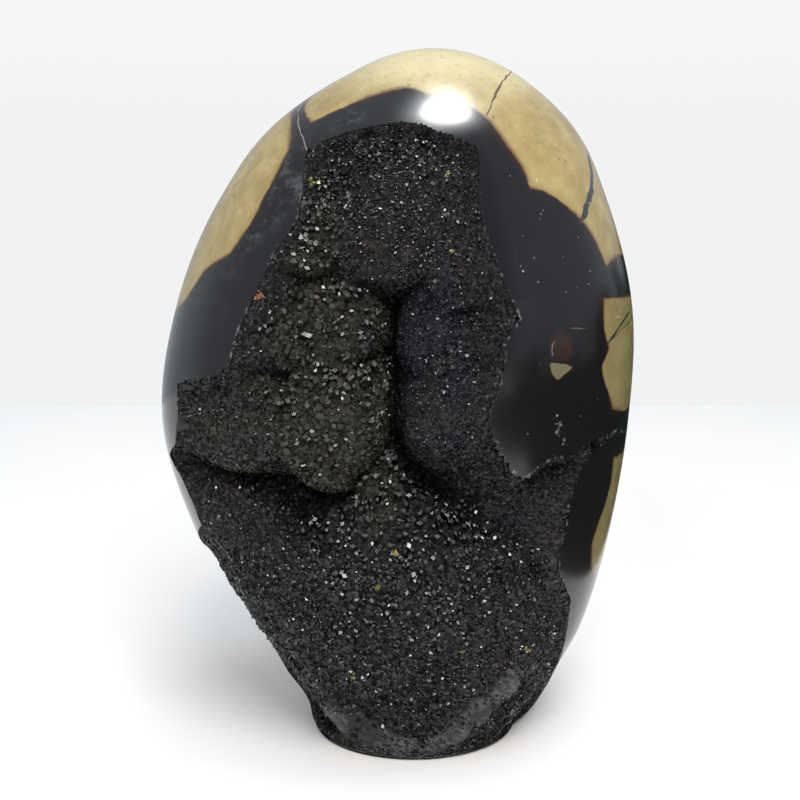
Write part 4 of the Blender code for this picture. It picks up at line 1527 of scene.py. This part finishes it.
def crystal_material(settings, name, gloss_low, gloss_high):
    """Dark calcite crystals with a few olive, rusty and yellow ones among them, lighter towards their roots as
    painted fill light in the gaps.
    """
    material, tree, shader, place = new_material(name)
    tone = tree.value_of("tone")
    warmth = tree.value_of("warmth")
    ground = tree.value_of("ground")
    sway = tree.math("MULTIPLY", tree.math("SUBTRACT", tree.noise(place, 110.0, detail=3.0), 0.5), 1.1)
    warm = tree.math("ADD", warmth, sway)
    colour = tree.blend(tree.step(warm, 0.0, 1.0), list(settings.crystal), list(settings.warm_crystal))
    colour = tree.blend(tree.step(warm, -0.05, -0.75), colour, list(settings.cool_crystal))
    lot = tree.math("FRACT", tree.math("MULTIPLY", tone, 37.0))
    colour = tree.blend(
        tree.step(lot, 0.55, 1.0), colour, tree.blend(1.0, colour, (1.8, 1.8, 1.75, 1.0), "MULTIPLY"))
    brown = tree.step(tree.noise(place, 210.0, detail=2.0), 0.62, 0.74)
    colour = tree.blend(tree.math("MULTIPLY", brown, 0.35), colour, (0.042, 0.026, 0.020, 1.0))
    # Painted fill light: each crystal is lighter towards its root, to brighten the shaded gaps between the crystals
    root = tree.step(tree.value_of("tip"), 0.55, 0.0)
    colour = tree.blend(
        tree.math("MULTIPLY", root, 0.9), colour, tree.blend(1.0, colour, (1.8, 1.8, 1.85, 1.0), "MULTIPLY"))
    spot = tree.add("ShaderNodeSeparateXYZ", {}, Vector=place)
    reddish = tree.math(
        "MULTIPLY", tree.step(spot.outputs["X"], -0.030, -0.033), tree.step(spot.outputs["Z"], 0.140, 0.136))
    bright = tree.blend(reddish, (0.21, 0.19, 0.065, 1.0), (0.30, 0.135, 0.075, 1.0))
    colour = tree.blend(tree.value_of("yellow"), colour, bright)
    ground = tree.math("MULTIPLY", ground, tree.step(tree.noise(place, 420.0, detail=3.0), 0.42, 0.58))
    colour = tree.blend(tree.math("MULTIPLY", ground, 0.8), colour, (0.095, 0.097, 0.092, 1.0))
    along = tree.add("ShaderNodeVectorMath", {"operation": "DOT_PRODUCT"})
    tree.put(along.inputs[0], place)
    along.inputs[1].default_value = DASH_WAY
    squash = tree.scaled(DASH_WAY, tree.math("MULTIPLY", along.outputs["Value"], -0.75))
    grain_way = tree.vector("ADD", place, squash)
    dashes = tree.step(tree.noise(grain_way, 1300.0, detail=2.0), 0.47, 0.54)
    bare = tree.math("MULTIPLY", dashes, tree.step(tree.noise(place, 120.0, detail=2.0), 0.40, 0.52))
    level_colour = tree.blend(bare, (0.010, 0.010, 0.011, 1.0), (0.068, 0.073, 0.070, 1.0))
    colour = tree.blend(tree.step(tree.value_of("level"), 0.25, 0.65), colour, level_colour)
    tree.put(shader.inputs["Base Color"], colour)
    tree.put(shader.inputs["Roughness"], tree.step(lot, 0.0, 1.0, gloss_low, gloss_high))
    shader.inputs["IOR"].default_value = 1.41
    frost = tree.noise(place, 2600.0, detail=2.0)
    bump = tree.add(
        "ShaderNodeBump", {}, Height=tree.math("MULTIPLY", frost, 0.00002), Strength=0.6,
        Distance=1.0)
    tree.put(shader.inputs["Normal"], bump.outputs[0])
    return material


def hand_in(thing, node):
    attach(thing, "root")
    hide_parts(node)


class NODULE_OT_polished_stone(bpy.types.Operator):
    """Build the polished stone with its hollow and its markings."""
    bl_idname = "nodule.polished_stone"
    bl_label = "Polished stone"

    def execute(self, context):
        settings = context.scene.nodule
        mesh = combine(egg_mesh(), [("DIFFERENCE", hollow_cutter())])
        mark_skin(mesh)
        smooth_skin(mesh)
        stone = new_object("polished_stone", mesh)
        stone.data.materials.clear()
        stone.data.materials.append(polish_material(settings))
        hand_in(stone, "nodule")
        return {"FINISHED"}


class NODULE_OT_crystal_hollow(bpy.types.Operator):
    """Build the crust that lines the hollow and grow its crystals in four pieces."""
    bl_idname = "nodule.crystal_hollow"
    bl_label = "Crystal hollow"

    def execute(self, context):
        settings = context.scene.nodule
        sheet = crust_sheet()
        kinds = crystal_kinds()
        material = crystal_material(settings, "black calcite crystals", 0.12, 0.42)
        for number, (name, zone) in enumerate(ZONES.items()):
            mesh = grow_crystals(sheet, zone, kinds, settings, 11 + 7 * number)
            mark_crystals(mesh)
            grind_to_skin(mesh)
            crystals = new_object(name, mesh)
            mesh.materials.clear()
            mesh.materials.append(material)
            hand_in(crystals, "crystal_crust")
        shapes = [thing.data for thing in kinds.objects]
        for thing in list(kinds.objects):
            bpy.data.objects.remove(thing)
        for shape in shapes:
            bpy.data.meshes.remove(shape)
        bpy.data.collections.remove(kinds)
        self.close_crust(sheet, settings)
        return {"FINISHED"}

    def close_crust(self, sheet, settings):
        """Give the sheet its back, so that the crust under the crystals is closed."""
        crust = bmesh.new()
        crust.from_mesh(sheet)
        pulled = bmesh.ops.extrude_face_region(crust, geom=crust.faces[:])
        far = [item for item in pulled["geom"] if isinstance(item, bmesh.types.BMVert)]
        bearing, depth, height = places_of(np.array([vert.co[:] for vert in far]))
        points = wrap(bearing, depth + CRUST_BACK, height)
        for vert, point in zip(far, points):
            vert.co = point
        bmesh.ops.recalc_face_normals(crust, faces=crust.faces[:])
        mesh = finished_mesh(crust, "crust_bed")
        grind_to_skin(mesh)
        bed = new_object("crust_bed", mesh)
        mesh.materials.append(crystal_material(settings, "crust under the crystals", 0.30, 0.45))
        hand_in(bed, "crystal_crust")


def add_light(name, place, aim, size, power, colour):
    data = bpy.data.lights.new(name, "AREA")
    data.shape = "DISK"
    data.size = size
    data.energy = power
    data.color = colour
    lamp = bpy.data.objects.new(name, data)
    bpy.context.scene.collection.objects.link(lamp)
    lamp.location = place
    lamp.rotation_euler = (Vector(aim) - Vector(place)).to_track_quat("-Z", "Y").to_euler()
    return lamp


class NODULE_OT_stage(bpy.types.Operator):
    """Lay the pale floor, set the studio light and place the camera."""
    bl_idname = "nodule.stage"
    bl_label = "Stage"

    def execute(self, context):
        self.floor()
        self.light(context.scene)
        camera = bpy.data.objects.new("camera", bpy.data.cameras.new("camera"))
        context.scene.collection.objects.link(camera)
        camera.location = CAMERA_PLACE
        camera.rotation_euler = (math.radians(CAMERA_TILT), 0, 0)
        camera.data.lens = CAMERA_LENS
        camera.data.clip_start = 0.01
        context.scene.camera = camera
        context.scene.view_settings.view_transform = "Standard"
        return {"FINISHED"}

    def floor(self):
        sheet = bmesh.new()
        bmesh.ops.create_grid(sheet, x_segments=24, y_segments=24, size=1.0)
        for vert in sheet.verts:
            vert.co.x = FLOOR_LEFT + (vert.co.x + 1) / 2 * (FLOOR_RIGHT - FLOOR_LEFT)
            vert.co.y = FLOOR_NEAR + (vert.co.y + 1) / 2 * (FLOOR_FAR - FLOOR_NEAR)
        floor = new_object("floor", finished_mesh(sheet, "floor"))
        material, tree, shader, place = new_material("pale floor")
        tint = tree.noise(place, 9.0, detail=2.0)
        colour = tree.blend(tree.step(tint, 0.3, 0.7), (0.86, 0.835, 0.815, 1.0), (0.89, 0.86, 0.84, 1.0))
        tree.put(shader.inputs["Base Color"], colour)
        shader.inputs["Roughness"].default_value = 0.55
        shader.inputs["Specular IOR Level"].default_value = 0.25
        floor.data.materials.append(material)

    def flag(self):
        """A dark board at the right, out of view, that the polish mirrors."""
        board = bmesh.new()
        bmesh.ops.create_grid(board, x_segments=1, y_segments=1, size=0.5)
        for vert in board.verts:
            vert.co = Vector((FLAG_X, vert.co.x * FLAG_DEEP + FLAG_Y, (vert.co.y + 0.5) * 2 * FLAG_HIGH))
        flag = new_object("flag", finished_mesh(board, "flag"))
        material, tree, shader, place = new_material("dark board")
        shader.inputs["Base Color"].default_value = (0.020, 0.032, 0.020, 1.0)
        shader.inputs["Roughness"].default_value = 0.9
        shader.inputs["Specular IOR Level"].default_value = 0.1
        spot = tree.add("ShaderNodeSeparateXYZ", {}, Vector=place)
        waver = tree.math("MULTIPLY", tree.math("SUBTRACT", tree.noise(place, 22.0, detail=3.0), 0.5), 0.07)
        slope = tree.math("MULTIPLY", tree.math("SUBTRACT", spot.outputs["Y"], FLAG_Y), FLAG_SLOPE)
        top = tree.math("SUBTRACT", tree.math("ADD", slope, FLAG_HIGH), spot.outputs["Z"])
        side = tree.math("SUBTRACT", spot.outputs["Y"], FLAG_Y - FLAG_DEEP / 2)
        upper = tree.step(tree.math("ADD", top, waver), 0.0, 0.030)
        near = tree.step(tree.math("ADD", side, waver), 0.0, 0.02)
        foot = tree.math("MULTIPLY", tree.math("SUBTRACT", spot.outputs["Y"], FLAG_FOOT_Y), -0.9)
        foot = tree.math("MINIMUM", tree.math("ADD", foot, FLAG_FOOT), FLAG_FOOT)
        above = tree.math("SUBTRACT", spot.outputs["Z"], foot)
        lower = tree.step(tree.math("ADD", above, tree.math("MULTIPLY", waver, 0.5)), -0.01, 0.01)
        shown = tree.math("MULTIPLY", tree.math("MULTIPLY", upper, near), lower)
        tree.put(shader.inputs["Alpha"], shown)
        flag.data.materials.append(material)
        flag.visible_camera = False
        flag.visible_diffuse = False
        flag.visible_shadow = False

    def light(self, scene):
        world = bpy.data.worlds.new("studio")
        scene.world = world
        world.use_nodes = True
        nodes = world.node_tree.nodes
        nodes.clear()
        tree = Tree(world.node_tree)
        way = tree.add("ShaderNodeTexCoord").outputs["Generated"]
        parts = tree.add("ShaderNodeSeparateXYZ", {}, Vector=way)
        turn = tree.math("ARCTAN2", parts.outputs["X"], tree.math("MULTIPLY", parts.outputs["Y"], -1.0))
        aside = tree.math("ABSOLUTE", turn)
        sides = tree.step(aside, math.radians(44), math.radians(50), DARK_FRONT, SIDE_WALLS)
        walls = tree.math(
            "ADD", sides, tree.step(aside, math.radians(92), math.radians(112), 0.0, BACK_WALL - SIDE_WALLS))
        lift = tree.step(parts.outputs["Z"], 0.86, 0.95)
        away = tree.math(
            "ADD", tree.math("MULTIPLY", walls, tree.math("SUBTRACT", 1.0, lift)),
            tree.math("MULTIPLY", lift, CEILING))
        near_lamp = tree.add("ShaderNodeVectorMath", {"operation": "DOT_PRODUCT"})
        tree.put(near_lamp.inputs[0], way)
        near_lamp.inputs[1].default_value = Vector((0.14, -0.08, 1.0)).normalized()
        halo = tree.step(near_lamp.outputs["Value"], math.cos(math.radians(HALO_REACH)), 1.0)
        away = tree.math("ADD", away, tree.math("MULTIPLY", tree.math("POWER", halo, 2.0), HALO))
        seen = tree.add("ShaderNodeLightPath").outputs["Is Camera Ray"]
        room = tree.add("ShaderNodeBackground", {}, Color=(0.86, 0.93, 1.0, 1.0), Strength=away)
        bright = tree.step(parts.outputs["Z"], 0.0, 0.12, 0.995, 1.045)
        wall = tree.add("ShaderNodeBackground", {}, Color=(0.88, 0.89, 0.895, 1.0), Strength=bright)
        both = tree.add("ShaderNodeMixShader", {}, Fac=seen)
        tree.put(both.inputs[1], room.outputs[0])
        tree.put(both.inputs[2], wall.outputs[0])
        tree.add("ShaderNodeOutputWorld", {}, Surface=both.outputs[0])
        lamp = add_light("ceiling lamp", (0.195, -0.118, 1.40), (0, 0, 0.1), 0.40, 12.0, (1.0, 0.985, 0.96))
        lamp.visible_diffuse = False
        glint = add_light("glint lamp", (0.06, -0.80, 1.05), (0, 0, 0.08), 0.20, 3.4, (1.0, 1.0, 1.0))
        glint.visible_diffuse = False
        key = add_light("key", (0.25, -0.72, 1.10), (0, 0, 0.05), 0.70, 12.6, (1.0, 0.99, 0.97))
        key.visible_glossy = False
        fill = add_light("fill", (-0.35, -0.95, 0.85), (0, 0, 0.0), 1.2, 6.0, (1.0, 1.0, 1.0))
        fill.visible_glossy = False
        self.flag()


class NODULE_PT_panel(bpy.types.Panel):
    """Lists the nodule's operators and settings in the sidebar."""
    bl_label = "Septarian Nodule"
    bl_idname = "NODULE_PT_panel"
    bl_space_type = "VIEW_3D"
    bl_region_type = "UI"
    bl_category = "Nodule"

    def draw(self, context):
        for operator in OPERATORS:
            self.layout.operator(operator.bl_idname)
        for name in NoduleSettings.__annotations__:
            self.layout.prop(context.scene.nodule, name)


OPERATORS = (NODULE_OT_polished_stone, NODULE_OT_crystal_hollow, NODULE_OT_stage)
CLASSES = (NoduleSettings, *OPERATORS, NODULE_PT_panel)


def register():
    for each in CLASSES:
        bpy.utils.register_class(each)
    bpy.types.Scene.nodule = bpy.props.PointerProperty(type=NoduleSettings)


def unregister():
    del bpy.types.Scene.nodule
    for each in reversed(CLASSES):
        bpy.utils.unregister_class(each)


def main():
    register()
    bpy.ops.nodule.polished_stone()
    bpy.ops.nodule.crystal_hollow()
    bpy.ops.nodule.stage()


if __name__ == "__main__":
    main()
